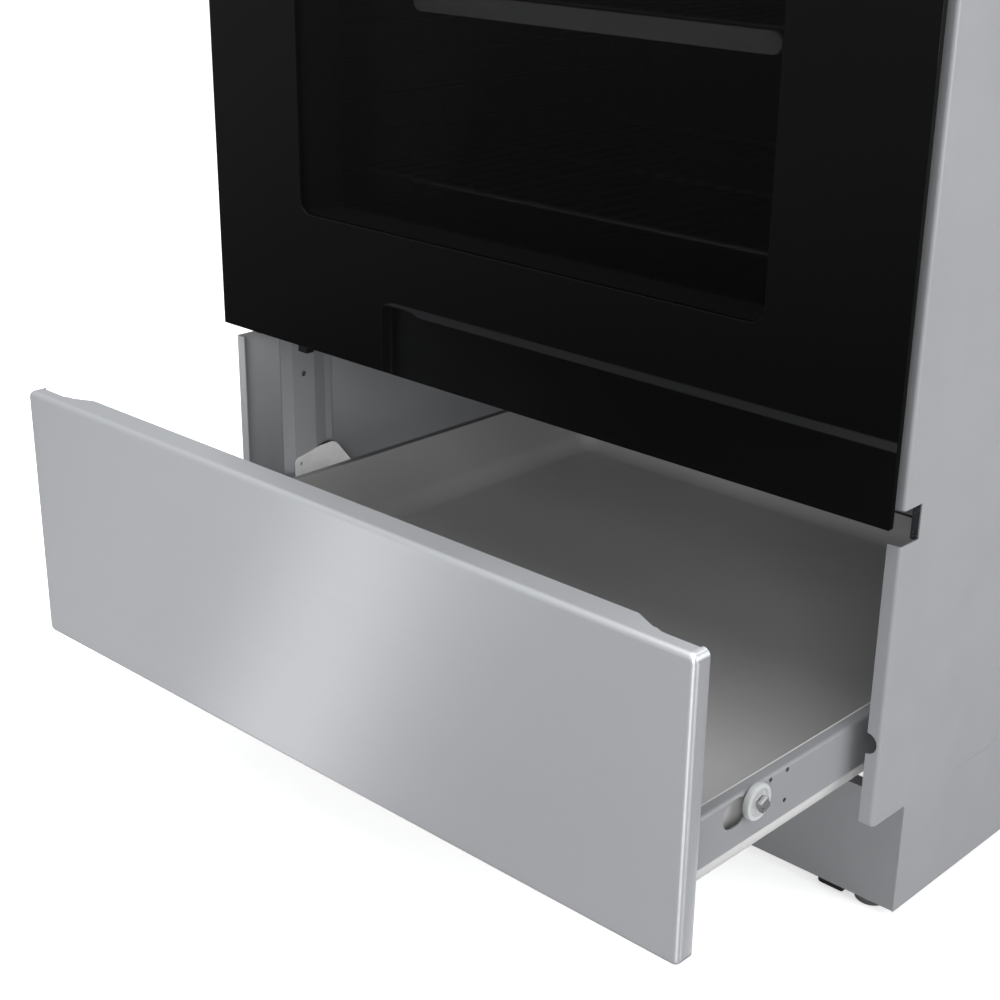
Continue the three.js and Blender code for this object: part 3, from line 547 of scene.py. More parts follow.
# A lighter copy of the paint for the drawer pan: painted light that brightens the pan's shaded inside.
PAN_PAINT_PAINTED_LIGHT = paint("pan_paint_painted_light", (0.43, 0.43, 0.425), 0.45, 0.1)
FRONT_STEEL = brushed("brushed_front", STEEL, 0.36, 0.7, (2.5, 2.5, 1400), 0.35, turn=0.25)
TOP_STEEL = brushed("brushed_top", STEEL, 0.34, 0.85, (2.5, 1100, 1100), 0.8)
BLACK_ENAMEL = enamel("black_enamel", (0.008, 0.008, 0.009), 0.3)
MATT_BLACK = plastic("matt_black", (0.002, 0.002, 0.002), 0.8, 0.00003)
OVEN_ENAMEL = enamel("oven_enamel", (0.03, 0.031, 0.034), 0.35, 0.8)
ZINC = galvanised("zinc_steel", (0.38, 0.385, 0.39))
PALE_STEEL = metal("pale_steel", (0.66, 0.66, 0.655), 0.5, 0.1)
IRON = cast_iron("cast_iron")
ALUMINIUM = metal("aluminium", (0.5, 0.51, 0.52), 0.42)
CHROME = metal("chrome", (0.62, 0.62, 0.63), 0.2)
RACK_WIRE = metal("rack_wire", (0.3, 0.3, 0.31), 0.42)
BRASS = metal("brass", (0.55, 0.4, 0.16), 0.35)
RUBBER = plastic("black_rubber", (0.012, 0.012, 0.012), 0.7, 0.00006)
NYLON = plastic("grey_nylon", (0.42, 0.43, 0.43), 0.5)
CERAMIC = plastic("ceramic", (0.72, 0.7, 0.66), 0.35)
GLASS_BLACK = black_glass("printed_glass")
GLASS_WINDOW = clear_glass("window_glass", 0.4, 0.35)
GLASS_INNER = clear_glass("inner_glass", 0.2, 0.3)
ROPE = woven("rope_gasket")
PRINT = plastic("grey_print", (0.3, 0.3, 0.31), 0.4)

# ---- Side panels and what stands between them ----------------------------------------
BEND = 3


def side_panel():
    out = HALF_WIDTH
    inner = out - SHEET
    fold = (out - BEND, FRONT_Y + BEND)
    profile = [(out - FLANGE, FRONT_Y)] + arc(fold, BEND, -90, 0)
    profile += [(out, REAR_Y), (out - 16, REAR_Y), (out - 16, REAR_Y - SHEET), (inner, REAR_Y - SHEET)]
    profile += arc(fold, BEND - SHEET, 0, -90) + [(out - FLANGE, FRONT_Y + SHEET)]
    shell = plate([profile], "z", (PANEL_Z, SIDE_TOP_Z))
    wide = (out - 30, out + 5)
    toe = [(0, 0), (TOE_Y - 0.6, 0), (TOE_Y - 0.6, TOE_TOP_Z - 3)]
    toe += arc((TOE_Y - 3.6, TOE_TOP_Z - 3), 3, 0, 90)
    toe += [(FRONT_Y + 6, TOE_TOP_Z), (FRONT_Y - 2, TOE_TOP_Z + 3), (0, TOE_TOP_Z + 3)]
    hinge = [(0, NOTCH_Z[0]), (NOTCH_Y, NOTCH_Z[0]), (NOTCH_Y, NOTCH_Z[1]), (0, NOTCH_Z[1])]
    groove = [(out - 0.5, 110), (out + 1, 109), (out + 1, 113), (out - 0.5, 112)]
    bead = plate([groove], "y", (140, REAR_Y - 20))
    shell = cut(
        shell,
        plate([toe], "x", wide),
        plate([hinge], "x", wide),
        plate([circle((out - FLANGE, ROLLER_Z + 1), 9)], "y", (FRONT_Y - 5, FRONT_Y + 5)),
        bead,
    )
    level = (22, 22 + SHEET)
    back = REAR_Y - 2
    bases = {
        "front": [(300, TOE_Y + 2), (inner, TOE_Y + 2), (inner, 140), (300, 110)],
        "rear": [(320, REAR_Y - 90), (inner, REAR_Y - 120), (inner, back), (320, back)],
    }
    holes = {end: circle((FOOT_X, y), 4.6, 16) for end, y in FOOT_Y.items()}
    return joined(shell, *[plate([bases[end], holes[end]], "z", level) for end in bases])


pair("body_side", side_panel(), PAINT, "chassis", ["side_panel"])

notch_return = block((372, 378), (NOTCH_Y + 0.3, NOTCH_Y + 15), (NOTCH_Z[0] - 2, NOTCH_Z[1] + 2), 0.4)
pair("notch_return", notch_return, OVEN_ENAMEL, "chassis")


def toe_screws():
    return joined(*[along(SCREW, "-y", (side * 357, TOE_Y, 94)) for side in (-1, 1)])


piece("toe_screws", toe_screws(), ALUMINIUM, "chassis")


def levelling_foot(x, y):
    pad = [(0, 0), (13, 0), (14.5, 1.2), (14.5, 4.6), (13.4, 5.8), (12, 7), (4, 7)]
    stem = []
    turns = 15
    for i in range(turns):
        height = 7 + 39 * i / turns
        stem += [(4, height), (3.4, height + 1.3)]
    nut = plate([circle((0, 0), 8.3, 6)], "z", (23.7, 29), 0.6)
    foot = joined(turned(pad + stem + [(3.4, 46), (0, 46)], 28), nut)
    return moved(foot, Matrix.Translation((x, y, 0)))


for end, y in FOOT_Y.items():
    for side, x in (("right", FOOT_X), ("left", -FOOT_X)):
        node = f"foot_{end}_{side}"
        piece(f"levelling_{node}", levelling_foot(x, y), ALUMINIUM, "chassis", [node])

skid = plate([rounded((304, 329), (2.5, 21.7), 2.5)], "y", (TOE_Y + 4, 100), 1)
pair("skid", skid, RUBBER, "chassis", ["skid_block"])


# ---- Storage drawer ------------------------------------------------------------------
def drawer_front():
    y = DRAWER_Y
    low, high = DRAWER_Z
    half = DRAWER_HALF
    skin = plate([rounded((-half, half), (low, high), 6.2)], "y", (y, y + 26), 4.6, 5)
    inside = rounded((-half + SHEET, half - SHEET), (low + SHEET, high - SHEET), 5)
    hollow = plate([inside], "y", (y + SHEET, y + 45), 3.4, 4)
    behind = block((-400, 400), (y + 15.5, y + 60), (0, 400))
    deep = [(-338, y + 12), (-311, y + 25), (311, y + 25), (338, y + 12)]
    flange = plate([deep], "z", (high - SHEET, high), 0.3)
    beyond = [(-half + 6, y + 13), (-340, y + 13), (-330, y + 17.5), (330, y + 17.5), (340, y + 13)]
    beyond += [(half - 6, y + 13), (half - 6, y + 40), (-half + 6, y + 40)]
    shell = cut(skin, hollow, behind, plate([beyond], "z", (high - 3, high + 3)))
    return union(shell, flange)


piece("drawer_face", drawer_front(), FRONT_STEEL, "drawer", ["drawer_front"])


def drawer_pan():
    """Pressed pan with round corners and a lip at each end."""
    front, rear = TUB_Y

    def well(grow):
        outline = rounded((-TUB_HALF - grow, TUB_HALF + grow), (front - grow, rear + grow), 26 + grow, 8)
        return plate([outline], "z", (TUB_FLOOR_Z - grow, 260), 20 + grow, 6)

    above = block((-400, 400), (-400, 600), (RAIL_Z[1], 400))
    top = (RAIL_Z[1] - SHEET, RAIL_Z[1])
    lips = [
        block((-RAIL_HALF + 2, RAIL_HALF - 2), (front - SHEET, front + 20), top),
        block((-RAIL_HALF + 2, RAIL_HALF - 2), (rear - 20, rear + SHEET), top),
    ]
    return cut(union(cut(well(SHEET), above), *lips), well(0))


def drawer_rail():
    """Rail folded down beside the pan, with the roller's slot and its rivet holes."""
    low, high = RAIL_Z
    fold = (RAIL_HALF - 3, high - 3)
    profile = [(TUB_HALF + SHEET, high - SHEET)] + arc(fold, 3 - SHEET, 90, 0, 4)
    profile += [(RAIL_HALF - SHEET, low + 2), (RAIL_HALF - 9, low + 2), (RAIL_HALF - 9, low)]
    profile += [(RAIL_HALF - 1, low)]
    profile += [(RAIL_HALF, low + 1)] + arc(fold, 3, 0, 90, 4) + [(TUB_HALF + SHEET, high)]
    across = (RAIL_HALF - 3, RAIL_HALF + 3)
    holes = [plate([rounded((-146, -118), (166, 189), 11)], "x", across)]
    holes += [plate([circle(place, 2, 12)], "x", across) for place in ((-69, 187), (-70, 162), (-90, 187))]
    return cut(plate([profile], "y", (TUB_Y[0] - SHEET, TUB_Y[1] + SHEET)), *holes)


piece("drawer_pan", drawer_pan(), PAN_PAINT_PAINTED_LIGHT, "drawer", ["drawer_tub"])
pair("drawer_rail", drawer_rail(), PAINT_PAINTED_SHADE, "drawer")


def roller_bolt():
    """Stud with a square head that has two wrench marks."""
    shank = along(turned([(0, -3), (3, -3), (3, 8), (0, 8)], 20), "x", (RAIL_HALF, ROLLER_Y, ROLLER_Z))
    turn = Matrix.Translation((0, ROLLER_Y, ROLLER_Z)) @ Matrix.Rotation(math.radians(24), 4, "X")
    head = plate([rounded((-5, 5), (-5, 5), 1.2, 3)], "x", (RAIL_HALF + 7.3, RAIL_HALF + 11.4), 0.7)
    marks = [
        plate([rectangle((-6, -2.6), (-0.8, 0.8))], "x", (RAIL_HALF + 10.4, RAIL_HALF + 13)),
        plate([rectangle((2.6, 6), (-0.8, 0.8))], "x", (RAIL_HALF + 10.4, RAIL_HALF + 13)),
    ]
    return joined(shank, moved(cut(head, *marks), turn))


pair("roller_bolt", roller_bolt(), ZINC, "drawer")


def roller():
    profile = [
        (3.3, 0), (12.6, 0), (13.9, 0.7), (ROLLER_R, 2), (ROLLER_R, 4.4), (13.9, 5.6), (12.6, 6),
        (11.2, 6), (10.4, 5.3), (9.6, 4.6), (6.6, 4.6), (6, 5.6), (5.2, 6), (3.3, 6),
    ]
    return along(turned(profile, 64), "x", (RAIL_HALF + 0.3, ROLLER_Y, ROLLER_Z))


for side, mesh in (("right", roller()), ("left", mirrored(roller()))):
    piece(f"roller_{side}", mesh, NYLON, f"drawer_roller_{side}", [f"drawer_roller_{side}"])

# ---- Oven door -----------------------------------------------------------------------
WINDOW = rounded((-WINDOW_HALF, WINDOW_HALF), WINDOW_Z, 13)
HANDLE_X = 310
HANDLE_Z = 782


def door_border():
    rim = plate([rounded((-DOOR_HALF, DOOR_HALF), DOOR_Z, 1), WINDOW], "y", (0, GLASS_DEPTH), 0.4)
    holes = [plate([circle((x, HANDLE_Z), 4.5)], "y", (-2, 8)) for x in (-HANDLE_X, HANDLE_X)]
    return cut(rim, *holes)


piece("door_border", door_border(), GLASS_BLACK, "door", ["door_glass"])
piece("door_window", plate([WINDOW], "y", (0.2, GLASS_DEPTH - 0.2)), GLASS_WINDOW, "door")


def handle():
    z = HANDLE_Z
    half = 338
    ends = [(0, 0), (6, 0), (9.5, 1.2), (11, 4)]
    profile = ends + [(11, 2 * half - 4), (9.5, 2 * half - 1.2), (6, 2 * half), (0, 2 * half)]
    grip = along(turned(profile, 40), "x", (-half, -46, z))
    posts = []
    foot = [
        (0, 0.3), (12, 0.3), (12.5, 1.4), (11, 3.4), (8.8, 6.5), (7.6, 12), (7.6, 30), (8.6, 40), (0, 40),
    ]
    for x in (-HANDLE_X, HANDLE_X):
        posts.append(along(turned(foot, 32), "-y", (x, 0, z)))
    return joined(grip, *posts)


piece("handle_bar", handle(), TOP_STEEL, "door", ["door_handle"])

bumper = block((-285, -273), (15, 24), (348.5, 363), 1.2)
piece("door_bumper", bumper, RUBBER, "door")

clip = block((WINDOW_HALF - 1.6, WINDOW_HALF - 0.4), (43.2, 44.4), (652, WINDOW_Z[1] - 1))
pair("glass_clip", clip, CHROME, "door")


# ---- Oven ----------------------------------------------------------------------------
def rack(level):
    wire = 3
    x = RACK_HALF - wire
    y = (RACK_Y[0] + wire, RACK_Y[1] - wire)
    ring = [(-x, y[0], level), (x, y[0], level), (x, y[1], level), (-x, y[1], level)]
    parts = [tube(bent(ring, 12, closed=True), wire, closed=True)]
    spaces = 24
    for i in range(1, spaces):
        at = -x + 2 * x * i / spaces
        stop = y[1] - 1
        path = [(at, y[0] + 1, level), (at, stop - 12, level), (at, stop, level)]
        parts.append(tube(path, 1.7, resolution=2))
    middle = (y[0] + y[1]) / 2
    parts.append(tube([(-x, middle, level - 4), (x, middle, level - 4)], 2.6, resolution=2))
    return joined(*parts)


for name, level in zip(("lower", "upper"), RACK_Z):
    node = f"oven_rack_{name}"
    piece(f"wire_rack_{name}", rack(level), RACK_WIRE, f"rack_{name}", [node])


band = rounded((-197, 197), (RACK_Z[1] - 19, RACK_Z[1] - 1), 8.5)
band_mesh = plate([band], "y", (RACK_Y[0] - 3, RACK_Y[0]), 0.8)
piece("rack_trim", band_mesh, PALE_STEEL, "rack_upper")


def bake_burner():
    z = 388
    loop = [(-90, 530, z), (-90, 120, z), (90, 120, z), (90, 530, z)]
    return tube(bent(loop, 30), 8.5, resolution=4)


piece("bake_tube", bake_burner(), ZINC, "chassis", ["bake_burner"])


def broil_burner():
    z = 770
    loop = [(-150, 140, z), (150, 140, z), (150, 440, z), (-150, 440, z)]
    posts = [tube([(0, y, z), (0, y, 791)], 4) for y in (140, 440)]
    return joined(tube(bent(loop, 25, closed=True), 8, closed=True, resolution=4), *posts)


piece("broil_tube", broil_burner(), ZINC, "chassis", ["broil_burner"])

rope = [(-319, 53.3, 390.5), (319, 53.3, 390.5), (319, 53.3, 795), (-319, 53.3, 795)]
rope_mesh = tube(bent(rope, 16, closed=True), 2.5, closed=True)
piece("door_gasket", rope_mesh, ROPE, "chassis", ["oven_gasket"])


# ---- Cooktop -------------------------------------------------------------------------
def cooktop():
    y = COOKTOP_Y
    base = span("cooktop", 2)[0]

    def rect(inset, radius):
        x = HALF_WIDTH - inset
        return rounded((-x, x), (y[0] + inset, y[1] - inset), radius, 8)

    def deck_outline(grow):
        x = HALF_WIDTH - 14 + grow
        return rounded((-x, x), (y[0] + 26 - grow, BACKGUARD_Y - 12 + grow), 24 + grow, 8)

    outer = plate([rect(0, 14)], "z", (base - 6, RIM_Z), 3, 4)
    below = block((-400, 400), (-60, 760), (base - 20, base))
    hollow = plate([rect(SHEET, 12.8)], "z", (base - 9, RIM_Z - SHEET))
    kept = plate([deck_outline(1.2)], "z", (DECK_Z - SHEET, RIM_Z + 1))
    recess = plate([deck_outline(0)], "z", (DECK_Z, RIM_Z + 9), 2.5, 3)
    holes = []
    for place in BURNERS:
        x, at = burner_centre(place)
        holes.append(plate([circle((x, at), 26, 32)], "z", (880, 930)))
    return cut(outer, below, cut(hollow, kept), recess, *holes)


def burner_centre(place):
    node = f"burner_cap_{place}"
    return sum(span(node, 0)) / 2, sum(span(node, 1)) / 2


piece("cooktop_pressing", cooktop(), TOP_STEEL, "chassis", ["cooktop"])


def burner_head(place):
    """Mixing cup, flange and a crown of flame ports."""
    x, y = burner_centre(place)
    radius = span(f"burner_cap_{place}", 0)[1] - x + 4
    low, high = DECK_Z + 0.3 - 22, DECK_Z + 0.3 + 13
    deck = DECK_Z + 0.3
    crown = radius - 9
    cup = [
        (0, low), (17, low), (18, low + 1), (24, low + 10), (24, deck), (radius - 6.6, deck),
        (radius - 6, deck + 0.6), (radius - 6, deck + 2.4), (radius - 7, deck + 3.2),
        (crown - 4, deck + 4), (crown - 4, high), (0, high),
    ]
    ports = 28
    ring = []
    for i in range(ports):
        start = 360 * i / ports
        ring += arc((0, 0), crown, start, start + 240 / ports, 2)
        ring += arc((0, 0), crown - 3, start + 250 / ports, start + 350 / ports, 1)
    teeth = plate([ring, circle((0, 0), crown - 6, 40)], "z", (deck + 3.4, deck + 10.5))
    band = [
        (crown - 5, deck + 10.4), (crown, deck + 10.4), (crown, deck + 11.5),
        (crown - 2, high), (crown - 5, high),
    ]
    return moved(joined(turned(cup, 56), teeth, turned(band)), Matrix.Translation((x, y, 0)))


def burner_cap(place):
    x, y = burner_centre(place)
    radius = span(f"burner_cap_{place}", 0)[1] - x
    z = span(f"burner_cap_{place}", 2)[0]
    profile = [
        (0, z), (radius - 2, z), (radius - 0.5, z + 0.8), (radius, z + 2), (radius - 0.6, z + 3.6),
        (radius - 2.4, z + 5.2), (radius - 6, z + 6.1), (radius - 12, z + 6.6), (radius - 14, z + 6.4),
        (radius - 16, z + 6.9), (0, z + 7.5),
    ]
    return moved(turned(profile, 64), Matrix.Translation((x, y, 0)))


def igniter(place):
    x, y = burner_centre(place)
    radius = span(f"burner_cap_{place}", 0)[1] - x
    side = -1 if x > 0 else 1
    post = [(0, 0), (3.4, 0), (3.4, 5), (2.6, 6), (2.6, 9.5), (1.2, 10), (1.2, 12), (0, 12.3)]
    return along(turned(post, 16), "z", (x + side * (radius + 2.4), y, DECK_Z))


for place in BURNERS:
    head, lid = burner_head(place), burner_cap(place)
    piece(f"burner_head_{place}", head, ALUMINIUM, "chassis", [f"burner_base_{place}"])
    piece(f"burner_lid_{place}", lid, IRON, "chassis", [f"burner_cap_{place}"])
    piece(f"igniter_{place}", igniter(place), CERAMIC, "chassis")


def grate():
    x, y = span("grate_right", 0), span("grate_right", 1)
    top = span("grate_right", 2)[1]
    bar = 11
    low = top - bar
    ring = rounded((x[0] + bar, x[1] - bar), (y[0] + bar, y[1] - bar), 8)
    parts = [plate([rounded(x, y, 16), ring], "z", (low, top), 2.4, 2)]

    def finger(start, end):
        """A bar that narrows and drops a little towards its free end."""
        a, b = Vector(start), Vector(end)
        way = (b - a).normalized()
        side = Vector((-way.y, way.x)) * 4.6
        tip = side * 0.62
        shoulder = b - way * 6
        nose = tip * 0.5
        outline = [a - side, shoulder - tip * 1.25, b - nose, b + nose, shoulder + tip * 1.25, a + side]
        return plate([[tuple(point) for point in outline]], "z", (low + 1, top), 2, 2)

    middle = (y[0] + y[1]) / 2
    crossbar = rounded((x[0] + 2, x[1] - 2), (middle - bar / 2, middle + bar / 2), 4)
    parts.append(plate([crossbar], "z", (low, top), 2.4, 2))
    for place in ("front_right", "rear_right"):
        cx, cy = burner_centre(place)
        near, far = (y[0], middle) if cy < middle else (middle, y[1])
        parts.append(finger((x[0] + 3, cy), (cx - 20, cy)))
        parts.append(finger((x[1] - 3, cy), (cx + 20, cy)))
        parts.append(finger((cx, near + 3), (cx, cy - 20)))
        parts.append(finger((cx, far - 3), (cx, cy + 20)))
        for off in (-85, 85):
            parts.append(finger((cx + off, near + 3), (cx + off, cy - 48)))
            parts.append(finger((cx + off, far - 3), (cx + off, cy + 48)))
    leg = [(0, 0), (4.6, 0), (5.4, 1), (6.2, low - DECK_Z), (0, low - DECK_Z + 2)]
    for fx in (x[0] + 10, x[1] - 10):
        for fy in (y[0] + 12, middle, y[1] - 12):
            parts.append(along(turned(leg, 16), "z", (fx, fy, DECK_Z + 0.3)))
    return joined(*parts)


pair("cast_grate", grate(), IRON, "chassis", ["grate"])


# ---- Controls ------------------------------------------------------------------------
def control_panel():
    low, high = CONTROL_Z
    y = CONTROL_Y
    out = 6
    lower, upper = (y + out, low + out), (y + out, high - out)
    profile = [(44, low)] + arc(lower, out, -90, -180) + arc(upper, out, 180, 90)
    profile += [(y + 22, high), (y + 22, high - SHEET)] + arc(upper, out - SHEET, 90, 180)
    profile += arc(lower, out - SHEET, 180, 270) + [(44, low + SHEET)]
    half = HALF_WIDTH - 0.5
    skin = plate([profile], "x", (-half, half))
    cap = plate([rounded((y + 0.2, y + 22), (low + 0.2, high - 0.2), out - 0.2)], "x", (half - SHEET, half))
    corner = block((367, 400), (14.5, 60), (low - 1, high - 2))
    holes = []
    for knob in KNOBS:
        x, z = knob_centre(knob)
        holes.append(plate([circle((x, z), 6.5)], "y", (y - 5, y + 10)))
    return cut(union(skin, cap, mirrored(cap)), corner, mirrored(corner), *holes)


def knob_centre(knob):
    return sum(span(f"knob_{knob}", 0)) / 2, sum(span(f"valve_stem_{knob}", 2)) / 2


piece("control_fascia", control_panel(), FRONT_STEEL, "chassis", ["control_panel"])


def knob(number):
    x, z = knob_centre(number)
    r = KNOB_R
    back = span(f"knob_{number}", 1)[1]
    skirt = [
        (3.8, -3), (5.4, -3), (5.4, 0), (r, 0), (r + 0.8, 0.8), (r + 1, 2), (r, 3.4), (r - 1.6, 5),
        (r - 2, 8), (r - 2.9, 21), (r - 3.6, 23), (r - 5.5, 24.3), (r - 8, 24.5), (0, 24.9),
        (0, 15), (3.8, 15),
    ]
    grip = plate([rounded((-4.6, 4.6), (-r + 3.6, r - 3.6), 4.2)], "z", (20, 31), 1.8, 4)
    mark = plate([rounded((-0.9, 0.9), (r - 12, r - 5), 0.8, 3)], "z", (30.7, 31.25))
    place = Matrix.Translation((x, back - 3, z)) @ Matrix.Rotation(math.pi / 2, 4, "X")
    return moved(union(turned(skirt, 64), grip), place), moved(mark, place)


for number in KNOBS:
    body_mesh, mark_mesh = knob(number)
    piece(f"knob_shell_{number}", body_mesh, TOP_STEEL, f"knob_{number}", [f"knob_{number}"])
    piece(f"knob_mark_{number}", mark_mesh, GLASS_BLACK, f"knob_{number}")


def dial_marks():
    """Printed dots around each knob, growing with the flame."""
    dots = []
    for number in KNOBS:
        x, z = knob_centre(number)
        steps = 9
        for i in range(steps):
            angle = math.radians(90 - 225 * i / (steps - 1))
            centre = (x + 27.5 * math.cos(angle), z + 27.5 * math.sin(angle))
            dots.append(plate([circle(centre, 0.7 + 0.09 * i, 12)], "y", (CONTROL_Y - 0.15, CONTROL_Y + 0.2)))
    return joined(*dots)


piece("dial_marks", dial_marks(), GLASS_BLACK, "chassis")


# ---- Backguard -----------------------------------------------------------------------
def backguard():
    low, high = BACKGUARD_Z
    y = BACKGUARD_Y
    half = HALF_WIDTH - 0.5

    def side(inset, bottom):
        front = [(y + inset, bottom), (y + inset, low + 60)]
        crown = arc((y + 26, high - 14), 14 - inset, 180, 90, 10)
        return front + crown + [(REAR_Y - inset, high - inset), (REAR_Y - inset, bottom)]

    shell = plate([side(0, low)], "x", (-half, half), 0.9)
    hollow = plate([side(SHEET, low - 5)], "x", (-half + SHEET, half - SHEET))
    vents = []
    for i in range(8):
        x = -175 + 50 * i
        vents.append(plate([rounded((x - 16, x + 16), (low + 22, low + 30), 3.8)], "y", (y - 4, y + 8)))
    return cut(shell, hollow, *vents)


piece("backguard_shell", backguard(), FRONT_STEEL, "chassis", ["backguard"])



def rear_screws():
    y = span("rear_panel", 1)[1]
    places = [(side * 369, z) for side in (-1, 1) for z in (60, 250, 470, 690, 850)]
    return joined(*[along(SCREW, "y", (x, y, z)) for x, z in places])


piece("rear_screws", rear_screws(), ZINC, "chassis")


def touch_marks():
    """Printed rings and bars of the touch keys, with no lettering."""
    front = span("display_panel", 1)[0]
    low, high = span("display_panel", 2)
    level = (low + high) / 2
    depth = (front - 0.15, front + 0.2)
    marks = []
    for side in (-1, 1):
        for i in range(4):
            at = (side * (86 + 34 * i), level)
            marks.append(plate([circle(at, 6, 32), circle(at, 5.2, 32)], "y", depth))
            bar = rounded((at[0] - 4, at[0] + 4), (level - 14, level - 12.8), 0.5, 2)
            marks.append(plate([bar], "y", depth))
    return joined(*marks)


piece("touch_marks", touch_marks(), PRINT, "chassis")

# ---- CAD nodes that keep their shape -------------------------------------------------
KEPT = {
    "toe_panel": PAINT_PAINTED_SHADE,
    "rear_panel": ZINC,
    "front_frame": BLACK_ENAMEL,
    "oven_liner": OVEN_ENAMEL,
    "oven_floor": OVEN_ENAMEL,
    "door_frame": MATT_BLACK,
    "door_liner": OVEN_ENAMEL,
    "door_inner_glass": GLASS_INNER,
    "gas_manifold": BRASS,
    "gas_regulator": ALUMINIUM,
    "gas_supply_pipe": ALUMINIUM,
    "display_panel": GLASS_BLACK,
}
SOFTENED = {"toe_panel": 0.3, "display_panel": 0.8, "gas_regulator": 0.6}

for side in ("right", "left"):
    KEPT[f"front_upright_{side}"] = PAINT
    SOFTENED[f"hinge_bracket_{side}"] = 0.3
    KEPT[f"hinge_bracket_{side}"] = ZINC
    KEPT[f"door_hinge_{side}"] = ZINC
    KEPT[f"drawer_guide_{side}"] = PALE_STEEL
for number in KNOBS:
    KEPT[f"valve_stem_{number}"] = BRASS

for node, finish in KEPT.items():
    kept = frame["nodes"][node]
    kept.data.materials.clear()
    kept.data.materials.append(finish)
    if node in SOFTENED:
        edge = kept.modifiers.new("edge", "BEVEL")
        edge.width = SOFTENED[node] * MM
        edge.segments = 2
        edge.limit_method = "ANGLE"
        edge.angle_limit = math.radians(50)

# ---- Floor, light and camera ---------------------------------------------------------


def floor():
    mesh = bpy.data.meshes.new("floor")
    reach = 12
    corners = [(-reach, -reach, 0), (reach, -reach, 0), (reach, reach, 0), (-reach, reach, 0)]
    mesh.from_pydata(corners, [], [(0, 1, 2, 3)])
    made = bpy.data.objects.new("floor", mesh)
    bpy.context.scene.collection.objects.link(made)
    pale = Finish("pale_floor", (0.93, 0.93, 0.93), 0.9)
    pale.shader.inputs["Specular IOR Level"].default_value = 0.1
    pale.shader.inputs["Emission Color"].default_value = (1, 1, 1, 1)
    pale.shader.inputs["Emission Strength"].default_value = 0.6
    mesh.materials.append(pale.material)
    made.visible_glossy = False
    made.visible_shadow = False


floor()


def world():
    """White behind the object, and a softer sky that lights it and shows in its gloss."""
    made = bpy.data.worlds.new("studio")
    bpy.context.scene.world = made
    made.use_nodes = True
    nodes, links = made.node_tree.nodes, made.node_tree.links
    nodes.clear()
    path = nodes.new("ShaderNodeLightPath")
    seen = nodes.new("ShaderNodeBackground")
    seen.inputs["Color"].default_value = (1, 1, 1, 1)
    coordinate = nodes.new("ShaderNodeTexCoord")
    parts = nodes.new("ShaderNodeSeparateXYZ")
    links.new(coordinate.outputs["Generated"], parts.inputs["Vector"])
    height = nodes.new("ShaderNodeMapRange")
    height.inputs["From Min"].default_value = -0.35
    height.inputs["From Max"].default_value = 0.6
    height.inputs["To Min"].default_value = 0.05
    height.inputs["To Max"].default_value = 0.75
    links.new(parts.outputs["Z"], height.inputs["Value"])
    sky = nodes.new("ShaderNodeBackground")
    sky.inputs["Color"].default_value = (0.97, 0.985, 1, 1)
    links.new(height.outputs["Result"], sky.inputs["Strength"])
    mix = nodes.new("ShaderNodeMixShader")
    out = nodes.new("ShaderNodeOutputWorld")
    links.new(path.outputs["Is Camera Ray"], mix.inputs["Fac"])
    links.new(sky.outputs["Background"], mix.inputs[1])
    links.new(seen.outputs["Background"], mix.inputs[2])
    links.new(mix.outputs["Shader"], out.inputs["Surface"])


world()


def softbox(name, place, target, size, power, only=()):
    """A soft area light, in metres in the range's frame. If pieces are named, it lights no others."""
    place, target = (Vector(point) + Vector((0, GLASS_Y, 0)) for point in (place, target))
    lamp = bpy.data.lights.new(name, "AREA")
    lamp.shape = "RECTANGLE"
    lamp.size, lamp.size_y = size
    lamp.energy = power
    made = bpy.data.objects.new(name, lamp)
    made.location = place
    made.rotation_euler = (target - place).to_track_quat("-Z", "Y").to_euler()
    made.visible_camera = False
    bpy.context.scene.collection.objects.link(made)
    if only:
        lit = bpy.data.collections.new(f"lit_by_{name}")
        for lit_name in only:
            lit.objects.link(bpy.data.objects[lit_name])
        made.light_linking.receiver_collection = lit
    return made


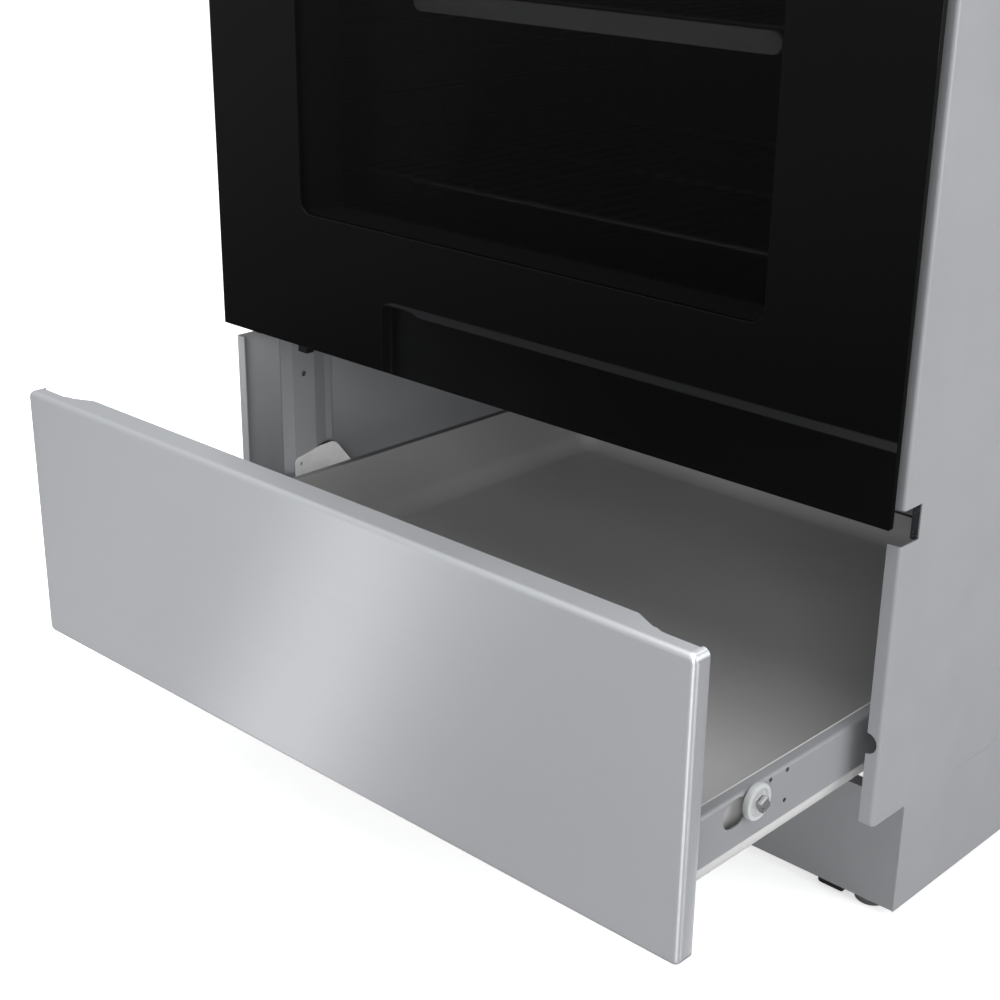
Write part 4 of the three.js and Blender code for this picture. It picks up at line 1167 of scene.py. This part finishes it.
FACE = (0, -0.222, 0.22)
ROOM = (1.7, -2.365, 1.2)
softbox("overhead", (0, -0.865, 3.2), (0, -0.065, 0), (3, 2.6), 80)
softbox("right_fill", (3.2, 0.635, 1.4), (0.38, 0.335, 0.4), (2.4, 2.4), 54)
strip = softbox("front_strip", (-1.8, -1.715, -0.91), FACE, (0.25, 2.4), 3.3, ["drawer_face"])
glow = softbox("left_glow", (-2.4, -1.515, -0.76), (-0.3, -0.222, 0.22), (0.6, 2.4), 1.95, ["drawer_face"])
for lamp in (strip, glow):
    lamp.rotation_euler.rotate_axis("Z", math.radians(-24))
softbox("flange_fill", (0.9, -0.5, 2), (0, -0.2, 0.34), (0.6, 0.6), 12, ["drawer_face"])
softbox("front_fill", ROOM, (-0.1, 0.035, 0.25), (1.6, 1.6), 60, ["drawer_face", "control_fascia"])
softbox("pan_fill", ROOM, (-0.1, 0.035, 0.25), (1.6, 1.6), 85, ["drawer_pan"])
softbox("inside_fill", ROOM, (-0.3, 0.235, 0.25), (1.6, 1.6), 108, ["body_side_left"])
softbox("upright_fill", (2.5, -0.6, 0.6), (-0.37, 0.09, 0.28), (0.8, 0.8), 40, ["front_upright_left"])
softbox("guide_fill", ROOM, (-0.3, 0.235, 0.25), (1.6, 1.6), 230, ["drawer_guide_left"])
veil = softbox("veil", (-1.08, -0.565, 0.58), (-1.08, 0.235, 0.58), (0.8, 1.2), 1.2, ["door_inner_glass"])
veil.rotation_euler.rotate_axis("Z", math.radians(-19))

CAMERA_PLACE = Vector((0.96897, GLASS_Y - 1.02592, 0.83356))
AZIMUTH, ELEVATION, ROLL = (math.radians(angle) for angle in (42.39, 22.53, 1.11))


def camera():
    lens = bpy.data.cameras.new("camera")
    lens.sensor_width = 36
    lens.lens = 63.35
    lens.shift_x = -0.03045
    lens.shift_y = 0.0349
    made = bpy.data.objects.new("camera", lens)
    across = math.cos(ELEVATION)
    back = Vector((math.sin(AZIMUTH) * across, -math.cos(AZIMUTH) * across, math.sin(ELEVATION)))
    right = Vector((math.cos(AZIMUTH), math.sin(AZIMUTH), 0))
    up = back.cross(right)
    tilted_right = right * math.cos(ROLL) + up * math.sin(ROLL)
    tilted_up = up * math.cos(ROLL) - right * math.sin(ROLL)
    turn = Matrix((tilted_right, tilted_up, back)).transposed().to_4x4()
    made.matrix_world = Matrix.Translation(CAMERA_PLACE) @ turn
    bpy.context.scene.collection.objects.link(made)
    bpy.context.scene.camera = made


camera()
bpy.context.scene.view_settings.view_transform = "Standard"
